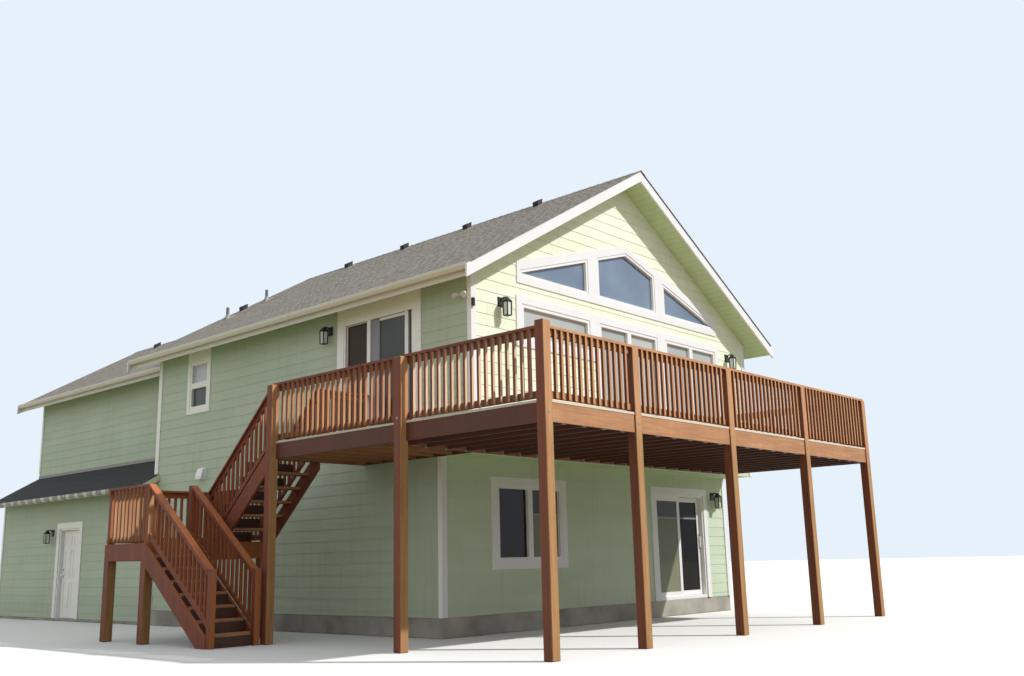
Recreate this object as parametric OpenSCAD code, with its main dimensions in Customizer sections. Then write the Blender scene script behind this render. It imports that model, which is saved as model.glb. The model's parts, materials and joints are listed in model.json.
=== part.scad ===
// Two-storey gabled beach house with a raised wrap-round deck and a switchback stair.
// Millimetres, Z up. The origin is on the ground under the middle of the main block.
// X runs along the gable front, Y runs from the gable front to the rear wing.

/* [Main block] */
// Width of the main block over its side walls
house_w = 8400; // [7800:50:9200]
// Length of the main block's upper storey from gable wall to back wall
main_l = 9400; // [8800:50:10500]
// How far the ground storey's front wall stands back under the upper storey
front_recess = 690; // [500:10:900]
// Thickness of every outer wall
wall_t = 150; // [120:5:180]

/* [Storeys] */
// Height of the main floor above the ground
slab_h = 300; // [200:10:400]
// Height of the rear wing's floor above the ground
rear_slab_h = 60; // [40:5:120]
// Clear height of the ground storey
room_h = 2430; // [2350:10:2600]
// Thickness of the upper floors
floor_t = 300; // [200:10:350]
// Height of the upper side walls, from floor to roof, on their outer face
upper_wall_h = 2575; // [2500:5:2800]

/* [Rear wing] */
// Length of the rear wing behind the main block
rear_l = 7550; // [6500:50:8500]
// Width of the rear wing's upper storey
rear_upper_w = 5650; // [5200:50:5900]
// How far the rear wing's upper side walls stand back from its ground-storey walls
side_step = 800; // [600:10:1000]

/* [Roofs] */
// Pitch of all roofs in degrees
pitch = 30.5; // [28:0.5:33]
// Thickness of the main roofs, square to the slope
roof_t = 180; // [150:5:220]
// How far the eaves reach past the side walls
eave_over = 440; // [350:10:550]
// How far the roofs reach past the gable walls
rake_over = 420; // [300:10:500]
// Thickness of the barge boards
barge_t = 35; // [20:1:50]
// Height at which the skirt roofs meet the upper walls, above the upper floor
skirt_top = 520; // [515:5:700]
// Thickness of the skirt roofs, square to the slope
skirt_t = 110; // [80:5:115]
// How far the skirt roofs reach past the ground-storey walls
skirt_over = 400; // [300:10:450]
// How far the left skirt roof runs on past the main block's corner
skirt_wrap = 200; // [0:10:300]
// Width and height of the gutters
gutter_w = 100; // [80:5:130]
// Wall thickness of the gutters
gutter_t = 6; // [4:1:10]
// Side of the square roof vents
vent_w = 200; // [160:10:320]
// Height of the roof vents over the roof
vent_h = 105; // [80:5:150]
// Radius of the vent pipes
pipe_r = 38; // [25:1:55]
// Height of the vent pipes over the roof
pipe_h = 290; // [200:10:400]

/* [Windows] */
// Width of each opening in the gable wall
window_w = 1860; // [1700:10:1900]
// Spacing of the openings in the gable wall
column_pitch = 2110; // [2110:10:2200]
// Height of the upper doors above the upper floor
upper_door_h = 2240; // [2100:10:2240]
// Height of the short window's opening in the gable wall
transom_h = 630; // [500:10:900]
// Height of the raked windows' lower glass edge above the upper floor
raked_z = 2740; // [2740:10:2800]
// Height of the raked windows' peak above the upper floor
raked_peak = 3680; // [3600:10:3800]
// Width of the window and door frames
frame_w = 60; // [45:1:70]
// Depth of the window and door frames
frame_d = 100; // [80:5:110]
// Width of the bars between two panes
bar_w = 90; // [60:5:110]
// Thickness of the glass
glass_t = 20; // [12:1:28]
// Width of the casing boards round the openings
casing_w = 115; // [90:5:120]
// How far casings and corner boards stand out from the wall
casing_t = 25; // [20:1:35]
// How far the casings lap over the edge of an opening
casing_lap = 20; // [10:1:30]
// Width of the casing boards round the small windows
small_casing_w = 80; // [70:5:120]
// Width of the casing boards beside the upper side door
door_casing_w = 160; // [115:5:180]
// Width of the corner boards that face the front and the rear
corner_w = 90; // [70:5:140]
// Width of the corner boards that face the sides
corner_side_w = 65; // [50:5:140]
// Width of the boards on the left wall over and under the skirt roof's end
skirt_board_w = 140; // [90:5:160]

/* [Left side openings] */
// Distance of the upper side door from the gable front, to its middle
side_door_y = 2200; // [2100:10:2400]
// Width of the upper side door's opening
side_door_w = 1840; // [1500:10:1900]
// How far the upper side door's stile stands behind the opening's middle
side_door_bar = 255; // [0:5:350]
// Distance of the small side window from the gable front, to its middle
side_window_y = 7800; // [7300:10:8200]
// Width of the small windows' openings
small_window_w = 700; // [600:10:900]
// Height of the small windows' openings
small_window_h = 1010; // [900:10:1200]

/* [Ground-floor openings] */
// Distance of the front window from the left side wall, to its middle
ground_window_side = 2060; // [1900:10:2300]
// Width of the front window's opening
ground_window_w = 1680; // [1400:10:1800]
// Height of the front window's opening
ground_window_h = 1260; // [1100:10:1400]
// Height of the ground-floor door and window heads above the main floor
ground_head = 2060; // [2000:10:2150]
// Distance of the sliding patio door from the right side wall, to its middle
patio_side = 1760; // [1650:10:1900]
// Width of the patio door's opening
patio_w = 1800; // [1600:10:1900]
// Distance of the entry door from the main block, to its middle
entry_y = 3780; // [3400:10:4200]
// Width of the entry door's opening
entry_w = 1060; // [950:10:1100]
// Height of the entry door's opening
entry_h = 2060; // [2000:10:2150]

/* [Doors] */
// Thickness of the patio door's panels
panel_t = 40; // [32:1:42]
// Width of the stiles and rails of the patio door's panels
stile_w = 90; // [70:5:110]
// Clearance round the moving doors
door_gap = 6; // [5:1:8]
// Clearance of the rollers and hinge pins
seat_gap = 0.3; // [0.2:0.1:0.5]
// Thickness of the entry door's leaf
leaf_t = 45; // [38:1:50]
// Radius of the hinge pins
pin_r = 8; // [6:1:10]

/* [Deck] */
// How far the deck's surface lies under the upper floor's
deck_drop = 30; // [0:10:130]
// Depth of the deck in front of the gable wall
front_deck_d = 3000; // [2700:10:3300]
// Width of the deck beside the left wall
side_deck_w = 1850; // [1750:10:2000]
// Length of the side deck behind the gable front
side_deck_l = 2550; // [2400:10:2700]
// How far the deck's right end stands in from the right wall
deck_right_in = 1000; // [800:10:1300]
// Thickness of the deck boards
board_t = 35; // [25:1:40]
// Height of the deck's rims and joists
joist_h = 235; // [184:1:240]
// Thickness of rims, joists and stringers
joist_t = 40; // [35:1:50]
// Spacing of the joists
joist_pitch = 406; // [350:1:610]
// Side of the deck's supporting posts
post_w = 140; // [115:5:150]
// Side of the rail posts of the stair, the landing and the side deck's end
rail_post_w = 90; // [80:5:110]
// Spacing of the front posts
front_bay = 2430; // [2300:10:2500]
// Distance of the left middle post behind the deck's front edge
left_post_y = 2450; // [2300:10:2700]

/* [Railing] */
// Height of the railings
rail_h = 914; // [860:1:1070]
// Thickness of the railings' cap board
cap_t = 38; // [25:1:45]
// Width of the railings' cap board
cap_w = 120; // [90:5:140]
// Height of the upper and lower rails
rail_d = 89; // [60:1:100]
// Thickness of rails and balusters
rail_t = 38; // [30:1:45]
// Spacing of the balusters
baluster_pitch = 122; // [100:1:140]
// Gap under the railings
rail_foot = 25; // [20:5:90]

/* [Stair] */
// Width of the upper flight
flight_w = 950; // [900:10:1000]
// How far the lower flight and the landing reach out from the deck's left edge
landing_out = 1000; // [950:10:1100]
// Number of risers in the upper flight
upper_risers = 7; // [6:1:8]
// Number of risers in the lower flight
lower_risers = 8; // [7:1:9]
// Height of each riser of the upper flight
upper_riser = 210; // [190:1:215]
// Going of the upper flight's treads
upper_going = 230; // [215:5:260]
// Going of the lower flight's treads
lower_going = 255; // [240:5:280]
// Depth of the landing behind the upper flight
landing_l = 1770; // [1500:10:2000]
// How far the lower flight starts behind the landing's front edge
lower_back = 440; // [300:10:600]
// Thickness of the treads
tread_t = 40; // [30:1:45]

/* [Lanterns] */
// Width of the wall lanterns
lantern_w = 170; // [130:5:200]
// Height of the wall lanterns
lantern_h = 330; // [280:5:400]

/* [Hidden] */

// Colours
wall_paint = "#b9c7a6";
white_paint = "#f2f0e8";
shingle = "#77706a";
dark_shingle = "#43464a";
deck_wood = "#a5623c";
concrete = "#a9a6a0";
pane = "#5b7488";
dark_metal = "#22221f";
floor_wood = "#b89a6d";

// Clearance where one sloped face lies on another
seat = 0.3;

// Levels
ground_top = slab_h + room_h;
upper_z = ground_top + floor_t;
plate_z = upper_z + upper_wall_h;
rise = tan(pitch);
roof_v = roof_t / cos(pitch);
skirt_v = skirt_t / cos(pitch);
ridge_z = plate_z + roof_v + house_w / 2 * rise;
rear_ridge_z = plate_z + roof_v + rear_upper_w / 2 * rise;
deck_h = upper_z - deck_drop;
rim_z = deck_h - board_t - joist_h;

// Plan lines of the main block
side_x = house_w / 2;
front_y = -main_l / 2;
ground_front_y = front_y + front_recess;
back_y = main_l / 2;
ground_window_x = ground_window_side - side_x;
patio_x = side_x - patio_side;

// Plan lines of the rear wing
rear_x0 = -side_x;
rear_up_x0 = rear_x0 + side_step;
rear_up_x1 = rear_up_x0 + rear_upper_w;
rear_x1 = rear_up_x1 + side_step;
rear_mid = (rear_up_x0 + rear_up_x1) / 2;
rear_end_y = back_y + rear_l;

// Plan lines of the deck and stair
deck_x0 = -side_x - side_deck_w;
deck_x1 = side_x - deck_right_in;
deck_y0 = front_y - front_deck_d;
side_deck_y1 = front_y + side_deck_l;
flight_x1 = deck_x0 + flight_w;
landing_h = deck_h - upper_risers * upper_riser;
lower_riser = landing_h / lower_risers;
landing_y0 = side_deck_y1 + (upper_risers - 1) * upper_going;
landing_y1 = landing_y0 + landing_l;
lower_x0 = deck_x0 - landing_out;
lower_x1 = deck_x0 - post_w;
lower_y0 = landing_y0 + lower_back;

// Heads and sills
door_head = upper_z + upper_door_h;
ground_door_head = slab_h + ground_head;
small_head = door_head + frame_w / 2;
entry_head = rear_slab_h + entry_h;

// Windows and fixed doors: [middle, width, sill, head, panes across, panes up], and where the bar
// between two panes isn't in the middle, how far off it stands
left_door = [side_door_y + front_y, side_door_w, upper_z, door_head, 2, 1, side_door_bar];
left_window = [side_window_y + front_y, small_window_w, small_head - small_window_h, small_head, 1, 2];
right_windows = [
    [side_door_y + front_y, small_window_w, small_head - small_window_h, small_head, 1, 2],
    left_window
];
ground_right_windows = [for (w = right_windows) [w[0], w[1], ground_door_head - small_window_h,
    ground_door_head, 1, 2]];
rear_right_window = [back_y + entry_y, small_window_w, entry_head - small_window_h, entry_head, 1, 2];
end_windows = [
    [rear_mid, small_window_w, small_head - small_window_h, small_head, 1, 2],
    [rear_mid, small_window_w, entry_head - small_window_h, entry_head, 1, 2]
];
front_window = [ground_window_x, ground_window_w, ground_door_head - ground_window_h,
    ground_door_head, 2, 1];
gable_row = [
    [-column_pitch, window_w, door_head - transom_h, door_head, 1, 1],
    [0, window_w, upper_z, door_head, 2, 1],
    [column_pitch, window_w, upper_z, door_head, 2, 1]
];

// Raked windows over the gable row
raked_base = upper_z + raked_z;
raked_top = upper_z + raked_peak;
raked_tip = column_pitch + window_w / 2 - frame_w / 2;
raked_slope = (raked_top - raked_base - frame_w / 3) / raked_tip;
raked_fall = sqrt(1 + raked_slope * raked_slope);
function raked_line(x, m) = raked_top - raked_slope * abs(x) + m * raked_fall;
function raked_middle(m) = let (x = window_w / 2 - frame_w + m) [
    [-x, raked_base - m], [x, raked_base - m], [x, raked_line(x, m)], [0, raked_line(0, m)],
    [-x, raked_line(x, m)]
];
function raked_side(m) = let (x0 = column_pitch - window_w / 2 + frame_w - m, x1 = raked_tip + m) [
    [x0, raked_base - m], [x1, raked_base - m], [x1, raked_line(x1, m)], [x0, raked_line(x0, m)]
];

// Extrusions: outlines drawn in X and Z run along Y, outlines in Y and Z run along X
module along_y(y0, len) translate([0, y0 + len, 0]) rotate([90, 0, 0]) linear_extrude(len) children();
module along_x(x0, len) translate([x0, 0, 0]) rotate([90, 0, 90]) linear_extrude(len) children();
module block(x0, x1, y0, y1, z0, z1) translate([x0, y0, z0]) cube([x1 - x0, y1 - y0, z1 - z0]);

// Wall faces: in each, X runs along the wall, -Y points outdoors
module on_left(x) translate([x, 0, 0]) rotate([0, 0, -90]) children();
module on_right(x) translate([x, 0, 0]) rotate([0, 0, 90]) children();
module on_back(y) translate([0, y, 0]) rotate([0, 0, 180]) children();
module on_front(y) translate([0, y, 0]) children();
function bar_shift(win) = len(win) > 6 ? win[6] : 0;
function flip(win) = [-win[0], win[1], win[2], win[3], win[4], win[5], -bar_shift(win)];

// Window parts, for a wall whose outer face is at y = 0
module opening_2d(win, m = 0)
    translate([win[0] - win[1] / 2 + m, win[2] + m]) square([win[1] - 2 * m, win[3] - win[2] - 2 * m]);
module casing_2d(win, w = casing_w, head = 0) {
    door = win[2] == upper_z || win[2] == slab_h || win[2] == rear_slab_h;
    top = head > 0 ? head : win[3] + w;
    difference() {
        translate([win[0] - win[1] / 2 - w, win[2] - (door ? 0 : w)])
            square([win[1] + 2 * w, top - win[2] + (door ? 0 : w)]);
        opening_2d(win, casing_lap);
        if (door) translate([win[0] - win[1] / 2 + casing_lap, win[2] - 1])
            square([win[1] - 2 * casing_lap, casing_lap + 2]);
    }
}
function pane_w(win) = (win[1] - 2 * frame_w - (win[4] - 1) * bar_w) / win[4];
function pane_h(win) = (win[3] - win[2] - 2 * frame_w - (win[5] - 1) * bar_w) / win[5];
module panes_2d(win)
    for (i = [0:win[4] - 1], j = [0:win[5] - 1])
        translate([win[0] - win[1] / 2 + frame_w + i * (pane_w(win) + bar_w + bar_shift(win)),
            win[2] + frame_w + j * (pane_h(win) + bar_w)])
            square([pane_w(win) + (1 - 2 * i) * bar_shift(win), pane_h(win)]);
module frame(win) along_y(0, frame_d) difference() {
    opening_2d(win);
    panes_2d(win);
}
module window_unit(win, w = small_casing_w, head = 0) {
    frame(win);
    along_y(-casing_t, casing_t) casing_2d(win, w, head);
}
module glass(win) along_y((frame_d - glass_t) / 2, glass_t) panes_2d(win);

// Main block
module main_slab() color(concrete)
    block(-side_x, side_x, ground_front_y, back_y, 0, slab_h);
module ground_side_walls() color(wall_paint) difference() {
    for (x = [-side_x, side_x - wall_t])
        block(x, x + wall_t, ground_front_y + wall_t, back_y - wall_t, slab_h, ground_top);
    along_x(side_x - wall_t - 1, wall_t + 2) for (win = ground_right_windows) opening_2d(win);
}
module front_wall_left() color(wall_paint) along_y(ground_front_y, wall_t) difference() {
    translate([-side_x, slab_h]) square([side_x + patio_x - patio_w / 2, ground_top - slab_h]);
    opening_2d(front_window);
}
module front_wall_right() color(wall_paint)
    block(patio_x + patio_w / 2, side_x, ground_front_y, ground_front_y + wall_t, slab_h, ground_top);
module front_wall_over_door() color(wall_paint)
    block(patio_x - patio_w / 2, patio_x + patio_w / 2, ground_front_y, ground_front_y + wall_t,
        ground_door_head, ground_top);
module upper_floor() color(floor_wood)
    block(-side_x, side_x, front_y, back_y - wall_t, ground_top, upper_z);
module front_gable_wall() color(wall_paint) along_y(front_y, wall_t) difference() {
    polygon([[-side_x, upper_z], [side_x, upper_z], [side_x, plate_z], [0, ridge_z - roof_v],
        [-side_x, plate_z]]);
    for (win = gable_row) opening_2d(win);
    polygon(raked_middle(frame_w));
    for (m = [0, 1]) mirror([m, 0]) polygon(raked_side(frame_w));
}
// A side wall whose top follows the roof, from its outer face inwards
module side_wall_2d(z0) polygon([[0, z0], [wall_t, z0], [wall_t, plate_z + wall_t * rise], [0, plate_z]]);
module left_wall_upper() color(wall_paint) difference() {
    along_y(front_y + wall_t, main_l - 2 * wall_t) translate([-side_x, 0]) side_wall_2d(upper_z);
    along_x(-side_x - 1, wall_t + 2) {
        opening_2d(left_door);
        opening_2d(left_window);
    }
}
module right_wall_upper() color(wall_paint) difference() {
    along_y(front_y + wall_t, main_l - 2 * wall_t) translate([side_x, 0]) mirror([1, 0])
        side_wall_2d(upper_z);
    along_x(side_x - wall_t - 1, wall_t + 2) for (win = right_windows) opening_2d(win);
}
module main_back_wall() color(wall_paint) along_y(back_y - wall_t, wall_t)
    polygon([[-side_x, slab_h], [side_x, slab_h], [side_x, plate_z], [0, ridge_z - roof_v],
        [-side_x, plate_z]]);

// A gabled roof outline: half width to the eave, its ridge height
roof_under = roof_v - seat;
module roof_2d(half, top) polygon([[-half, top - half * rise], [0, top], [half, top - half * rise],
    [half, top - half * rise - roof_under], [0, top - roof_under], [-half, top - half * rise - roof_under]]);
module main_roof() color(shingle)
    along_y(front_y - rake_over, main_l + 2 * rake_over) roof_2d(side_x + eave_over, ridge_z);

// Rear wing
skirt_z = upper_z + skirt_top;
skirt_run = side_step + skirt_over;
skirt_wall_z = skirt_z - skirt_v - side_step * rise;
module skirt_wall_2d() polygon([[0, rear_slab_h], [wall_t, rear_slab_h],
    [wall_t, skirt_wall_z + wall_t * rise], [0, skirt_wall_z]]);
module rear_slab() color(concrete) block(rear_x0, rear_x1, back_y, rear_end_y, 0, rear_slab_h);
module rear_side_wall(y0, y1) color(wall_paint) along_y(y0, y1 - y0) translate([rear_x0, 0]) skirt_wall_2d();
module rear_side_wall_front() rear_side_wall(back_y, back_y + entry_y - entry_w / 2);
module rear_side_wall_back() rear_side_wall(back_y + entry_y + entry_w / 2, rear_end_y - wall_t);
module rear_side_wall_over_door() color(wall_paint) intersection() {
    rear_side_wall(back_y + entry_y - entry_w / 2, back_y + entry_y + entry_w / 2);
    block(rear_x0, rear_x0 + wall_t, back_y, rear_end_y, entry_head, skirt_z);
}
module rear_right_wall() color(wall_paint) difference() {
    along_y(back_y, rear_l - wall_t) translate([rear_x1, 0]) mirror([1, 0]) skirt_wall_2d();
    along_x(rear_x1 - wall_t - 1, wall_t + 2) opening_2d(rear_right_window);
}
module rear_upper_floor() color(floor_wood)
    block(rear_x0 + wall_t, rear_x1 - wall_t, back_y, rear_end_y - wall_t, ground_top, upper_z);
module rear_upper_side_walls() color(wall_paint) {
    along_y(back_y, rear_l - wall_t) translate([rear_up_x0, 0]) side_wall_2d(upper_z);
    along_y(back_y, rear_l - wall_t) translate([rear_up_x1, 0]) mirror([1, 0]) side_wall_2d(upper_z);
}
module rear_end_wall() color(wall_paint) along_y(rear_end_y - wall_t, wall_t) difference() {
    polygon([[rear_x0, rear_slab_h], [rear_x0, skirt_wall_z], [rear_up_x0, skirt_z - skirt_v],
        [rear_up_x0, plate_z], [rear_mid, rear_ridge_z - roof_v], [rear_up_x1, plate_z],
        [rear_up_x1, skirt_z - skirt_v], [rear_x1, skirt_wall_z], [rear_x1, rear_slab_h]]);
    for (win = end_windows) opening_2d(win);
}
module rear_roof() color(shingle)
    along_y(back_y, rear_l + rake_over) translate([rear_mid, 0])
        roof_2d(rear_upper_w / 2 + eave_over, rear_ridge_z);
skirt_under = skirt_v - seat;
module skirt_2d() polygon([[0, skirt_z], [-skirt_run, skirt_z - skirt_run * rise],
    [-skirt_run, skirt_z - skirt_run * rise - skirt_under], [0, skirt_z - skirt_under]]);
module skirt_wrap_2d() intersection() {
    skirt_2d();
    translate([-2 * skirt_run, 0]) square([2 * skirt_run - side_step, skirt_z]);
}
module skirt_roofs() color(dark_shingle) {
    along_y(back_y, rear_l) translate([rear_up_x0, 0]) skirt_2d();
    along_y(back_y - skirt_wrap, skirt_wrap + 1) translate([rear_up_x0, 0]) skirt_wrap_2d();
    along_y(back_y, rear_l) translate([rear_up_x1, 0]) mirror([1, 0]) skirt_2d();
}

// Roof trim
module barge_2d(half, top) roof_2d(half + gutter_w, top);
module barge_boards() color(white_paint) {
    for (y = [front_y - rake_over - barge_t, back_y + rake_over])
        along_y(y, barge_t) barge_2d(side_x + eave_over, ridge_z);
    along_y(rear_end_y + rake_over, barge_t) translate([rear_mid, 0])
        barge_2d(rear_upper_w / 2 + eave_over, rear_ridge_z);
}
// A gutter hangs on the roof's plumb edge, which is at x = 0, with its rim at z = 0
module gutter_2d() difference() {
    polygon([[0, 0], [0, -gutter_w], [-gutter_w * 0.7, -gutter_w], [-gutter_w, -gutter_w * 0.5],
        [-gutter_w, 0]]);
    polygon([[-gutter_t, 1], [-gutter_t, gutter_t - gutter_w],
        [gutter_t - gutter_w * 0.7, gutter_t - gutter_w], [gutter_t - gutter_w, -gutter_w * 0.5],
        [gutter_t - gutter_w, 1]]);
}
module gutter_pair(mid, half, z, y0, len) for (m = [0, 1])
    along_y(y0, len) translate([mid, 0]) mirror([m, 0]) translate([-half, z]) gutter_2d();
gutter_drop = gutter_w * 0.2;
module gutters() color(white_paint) {
    gutter_pair(0, side_x + eave_over, plate_z + roof_v - eave_over * rise - gutter_drop,
        front_y - rake_over, main_l + 2 * rake_over);
    gutter_pair(rear_mid, rear_upper_w / 2 + eave_over, plate_z + roof_v - eave_over * rise - gutter_drop,
        back_y + rake_over + barge_t, rear_l - barge_t);
    gutter_pair(rear_mid, rear_upper_w / 2 + skirt_run, skirt_z - skirt_run * rise - gutter_drop,
        back_y, rear_l);
}

// Roof vents: [x, y] on the left slopes, boxes cut to the slope, and round pipes
vent_in = 300;
vent_first = 1870;
vent_last = 1520;
vent_count = 4;
vent_pitch = (main_l - vent_first - vent_last) / (vent_count - 1);
low_vent_in = side_x * 0.512;
low_vent_y = 60;
rear_vent_end = 1200;
pipe_lines = [[side_x * 0.643, 150], [side_x * 0.393, 130]];
main_vents = [for (i = [0:vent_count - 1]) [-vent_in, front_y + vent_first + i * vent_pitch]];
low_vent = [-low_vent_in, back_y + low_vent_y];
rear_vent_y = rear_end_y - rear_vent_end;
module vent_box(x, y, top) {
    slope = top + rise * x;
    reach = vent_w / 2;
    along_y(y - reach, vent_w) polygon([[x - reach, slope - rise * reach + seat],
        [x + reach, slope + rise * reach + seat], [x + reach, slope + rise * reach + vent_h],
        [x - reach, slope - rise * reach + vent_h]]);
}
module vent_pipe(x, y) difference() {
    slope = ridge_z + rise * x;
    reach = 4 * pipe_r;
    translate([x, y, slope - rise * pipe_r]) cylinder(r = pipe_r, h = pipe_h, $fn = 48);
    along_y(y - reach, 2 * reach) polygon([[x - reach, slope - rise * reach + seat],
        [x + reach, slope + rise * reach + seat], [x + reach, 0], [x - reach, 0]]);
}
module roof_vents() color(dark_metal) {
    for (v = main_vents) vent_box(v[0], v[1], ridge_z);
    vent_box(low_vent[0], low_vent[1], ridge_z);
    translate([rear_mid, 0, 0]) vent_box(-vent_in, rear_vent_y, rear_ridge_z);
    for (p = pipe_lines) vent_pipe(-p[0], back_y - p[1]);
}

// Corner boards: an angle of two boards round an outer corner, sx and sy point outwards
module corner_board(x, y, sx, sy, z0, z1) difference() {
    angle = [x - sx * corner_w, x + sx * casing_t, y - sy * corner_side_w, y + sy * casing_t];
    inner = [x - sx * 2 * corner_w, x, y - sy * 2 * corner_w, y];
    block(min(angle[0], angle[1]), max(angle[0], angle[1]), min(angle[2], angle[3]),
        max(angle[2], angle[3]), z0, z1);
    block(min(inner[0], inner[1]), max(inner[0], inner[1]), min(inner[2], inner[3]),
        max(inner[2], inner[3]), z0 - 1, z1 + 1);
}
module corner_boards() color(white_paint) {
    for (sx = [-1, 1]) {
        corner_board(sx * side_x, front_y, sx, -1, sx < 0 ? deck_h : ground_top, plate_z - casing_t);
        corner_board(sx * side_x, ground_front_y, sx, -1, slab_h, ground_top - 1);
    }
    corner_board(side_x, back_y, 1, 1, slab_h, plate_z - casing_t);
    corner_board(rear_up_x0, rear_end_y, -1, 1, skirt_z + casing_w, plate_z - casing_t);
    corner_board(rear_up_x1, rear_end_y, 1, 1, skirt_z + casing_w, plate_z - casing_t);
    corner_board(rear_x0, rear_end_y, -1, 1, rear_slab_h, skirt_wall_z - casing_w);
    corner_board(rear_x1, rear_end_y, 1, 1, rear_slab_h, skirt_wall_z - casing_w);
    block(-side_x - casing_t, -side_x, back_y - skirt_board_w, back_y, slab_h, skirt_wall_z - casing_w);
    block(-side_x - casing_t, -side_x, back_y - skirt_board_w, back_y, skirt_wall_z + skirt_v + 1,
        plate_z - casing_t);
}

// Windows of the gable wall: the raked group and the row under it
raked_lap = frame_w - casing_lap;
row_edge = column_pitch + window_w / 2 + casing_w;
module gable_windows() color(white_paint) translate([0, front_y, 0]) {
    along_y(0, frame_d) {
        difference() {
            polygon(raked_middle(frame_w));
            polygon(raked_middle(0));
        }
        for (m = [0, 1]) mirror([m, 0]) difference() {
            polygon(raked_side(frame_w));
            polygon(raked_side(0));
        }
    }
    along_y(-casing_t, casing_t) difference() {
        polygon([[-raked_tip - casing_w, raked_base - frame_w - casing_w],
            [raked_tip + casing_w, raked_base - frame_w - casing_w],
            [raked_tip + casing_w, raked_line(raked_tip, casing_w + frame_w)],
            [0, raked_line(0, casing_w + frame_w)],
            [-raked_tip - casing_w, raked_line(raked_tip, casing_w + frame_w)]]);
        polygon(raked_middle(raked_lap));
        for (m = [0, 1]) mirror([m, 0]) polygon(raked_side(raked_lap));
    }
    for (win = gable_row) frame(win);
    along_y(-casing_t, casing_t) difference() {
        union() {
            translate([-window_w / 2 - casing_w, upper_z])
                square([row_edge + window_w / 2 + casing_w, upper_door_h + casing_w]);
            translate([-row_edge, door_head - transom_h - casing_w])
                square([row_edge, transom_h + 2 * casing_w]);
        }
        for (win = gable_row) opening_2d(win, casing_lap);
        for (win = [gable_row[1], gable_row[2]]) translate([win[0] - win[1] / 2 + casing_lap, upper_z - 1])
            square([win[1] - 2 * casing_lap, casing_lap + 2]);
    }
}
module side_windows() color(white_paint) {
    on_left(-side_x) window_unit(flip(left_door), door_casing_w, plate_z - casing_t);
    on_left(-side_x) window_unit(flip(left_window), small_casing_w, plate_z - casing_t);
    on_right(side_x) for (win = right_windows) window_unit(win);
    on_back(rear_end_y) for (win = end_windows) window_unit(flip(win));
    on_right(side_x) for (win = ground_right_windows) window_unit(win);
    on_right(rear_x1) window_unit(rear_right_window);
    on_front(ground_front_y) window_unit(front_window, casing_w);
}
module upper_glass() color(pane) {
    on_front(front_y) {
        for (win = gable_row) glass(win);
        along_y((frame_d - glass_t) / 2, glass_t) {
            polygon(raked_middle(0));
            for (m = [0, 1]) mirror([m, 0]) polygon(raked_side(0));
        }
    }
    on_left(-side_x) glass(flip(left_door));
    on_left(-side_x) glass(flip(left_window));
    on_right(side_x) for (win = right_windows) glass(win);
    on_back(rear_end_y) glass(flip(end_windows[0]));
}

// Sliding patio door: the fixed panel stands outdoors of the sliding one
patio_in = patio_w - 2 * frame_w;
panel_w = patio_in / 2 + stile_w / 2;
panel_z0 = slab_h + frame_w + door_gap;
panel_z1 = ground_door_head - frame_w - door_gap;
fixed_y = (wall_t - 2 * panel_t - door_gap) / 2;
slide_y = fixed_y + panel_t + door_gap;
slide_x1 = patio_x + patio_in / 2 - door_gap;
fixed_x0 = patio_x - patio_in / 2;
handle_w = 30;
handle_h = 220;
handle_out = 32;
handle_up = 1000;
handle_z = slab_h + handle_up;
roller_w = 60;
roller_t = 12;
module panel_2d(x0, z0, z1) difference() {
    translate([x0, z0]) square([panel_w, z1 - z0]);
    translate([x0 + stile_w, z0 + stile_w]) square([panel_w - 2 * stile_w, z1 - z0 - 2 * stile_w]);
}
module pane_2d(x0, z0, z1)
    translate([x0 + stile_w, z0 + stile_w]) square([panel_w - 2 * stile_w, z1 - z0 - 2 * stile_w]);
module patio_door_frame() color(white_paint) on_front(ground_front_y) {
    patio = [patio_x, patio_w, slab_h, ground_door_head, 1, 1];
    along_y(0, wall_t) difference() {
        opening_2d(patio);
        panes_2d(patio);
    }
    along_y(-casing_t, casing_t) casing_2d(patio);
    along_y(fixed_y, panel_t) panel_2d(fixed_x0, slab_h + frame_w, ground_door_head - frame_w);
}
module patio_sliding_panel() color(white_paint) on_front(ground_front_y) {
    along_y(slide_y, panel_t) panel_2d(slide_x1 - panel_w, panel_z0, panel_z1);
    for (x = [slide_x1 - panel_w + stile_w, slide_x1 - stile_w - roller_w])
        block(x, x + roller_w, slide_y + (panel_t - roller_t) / 2, slide_y + (panel_t + roller_t) / 2,
            slab_h + frame_w + seat_gap, panel_z0 + 1);
    block(slide_x1 - handle_w - stile_w / 4, slide_x1 - stile_w / 4, slide_y - handle_out, slide_y + 1,
        handle_z, handle_z + handle_h);
}
module patio_sliding_glass() color(pane) on_front(ground_front_y)
    along_y(slide_y + (panel_t - glass_t) / 2, glass_t) pane_2d(slide_x1 - panel_w, panel_z0, panel_z1);
module ground_glass() color(pane) {
    on_front(ground_front_y) {
        glass(front_window);
        along_y(fixed_y + (panel_t - glass_t) / 2, glass_t)
            pane_2d(fixed_x0, slab_h + frame_w, ground_door_head - frame_w);
    }
    on_right(side_x) for (win = ground_right_windows) glass(win);
    on_right(rear_x1) glass(rear_right_window);
    on_back(rear_end_y) glass(flip(end_windows[1]));
}

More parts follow.
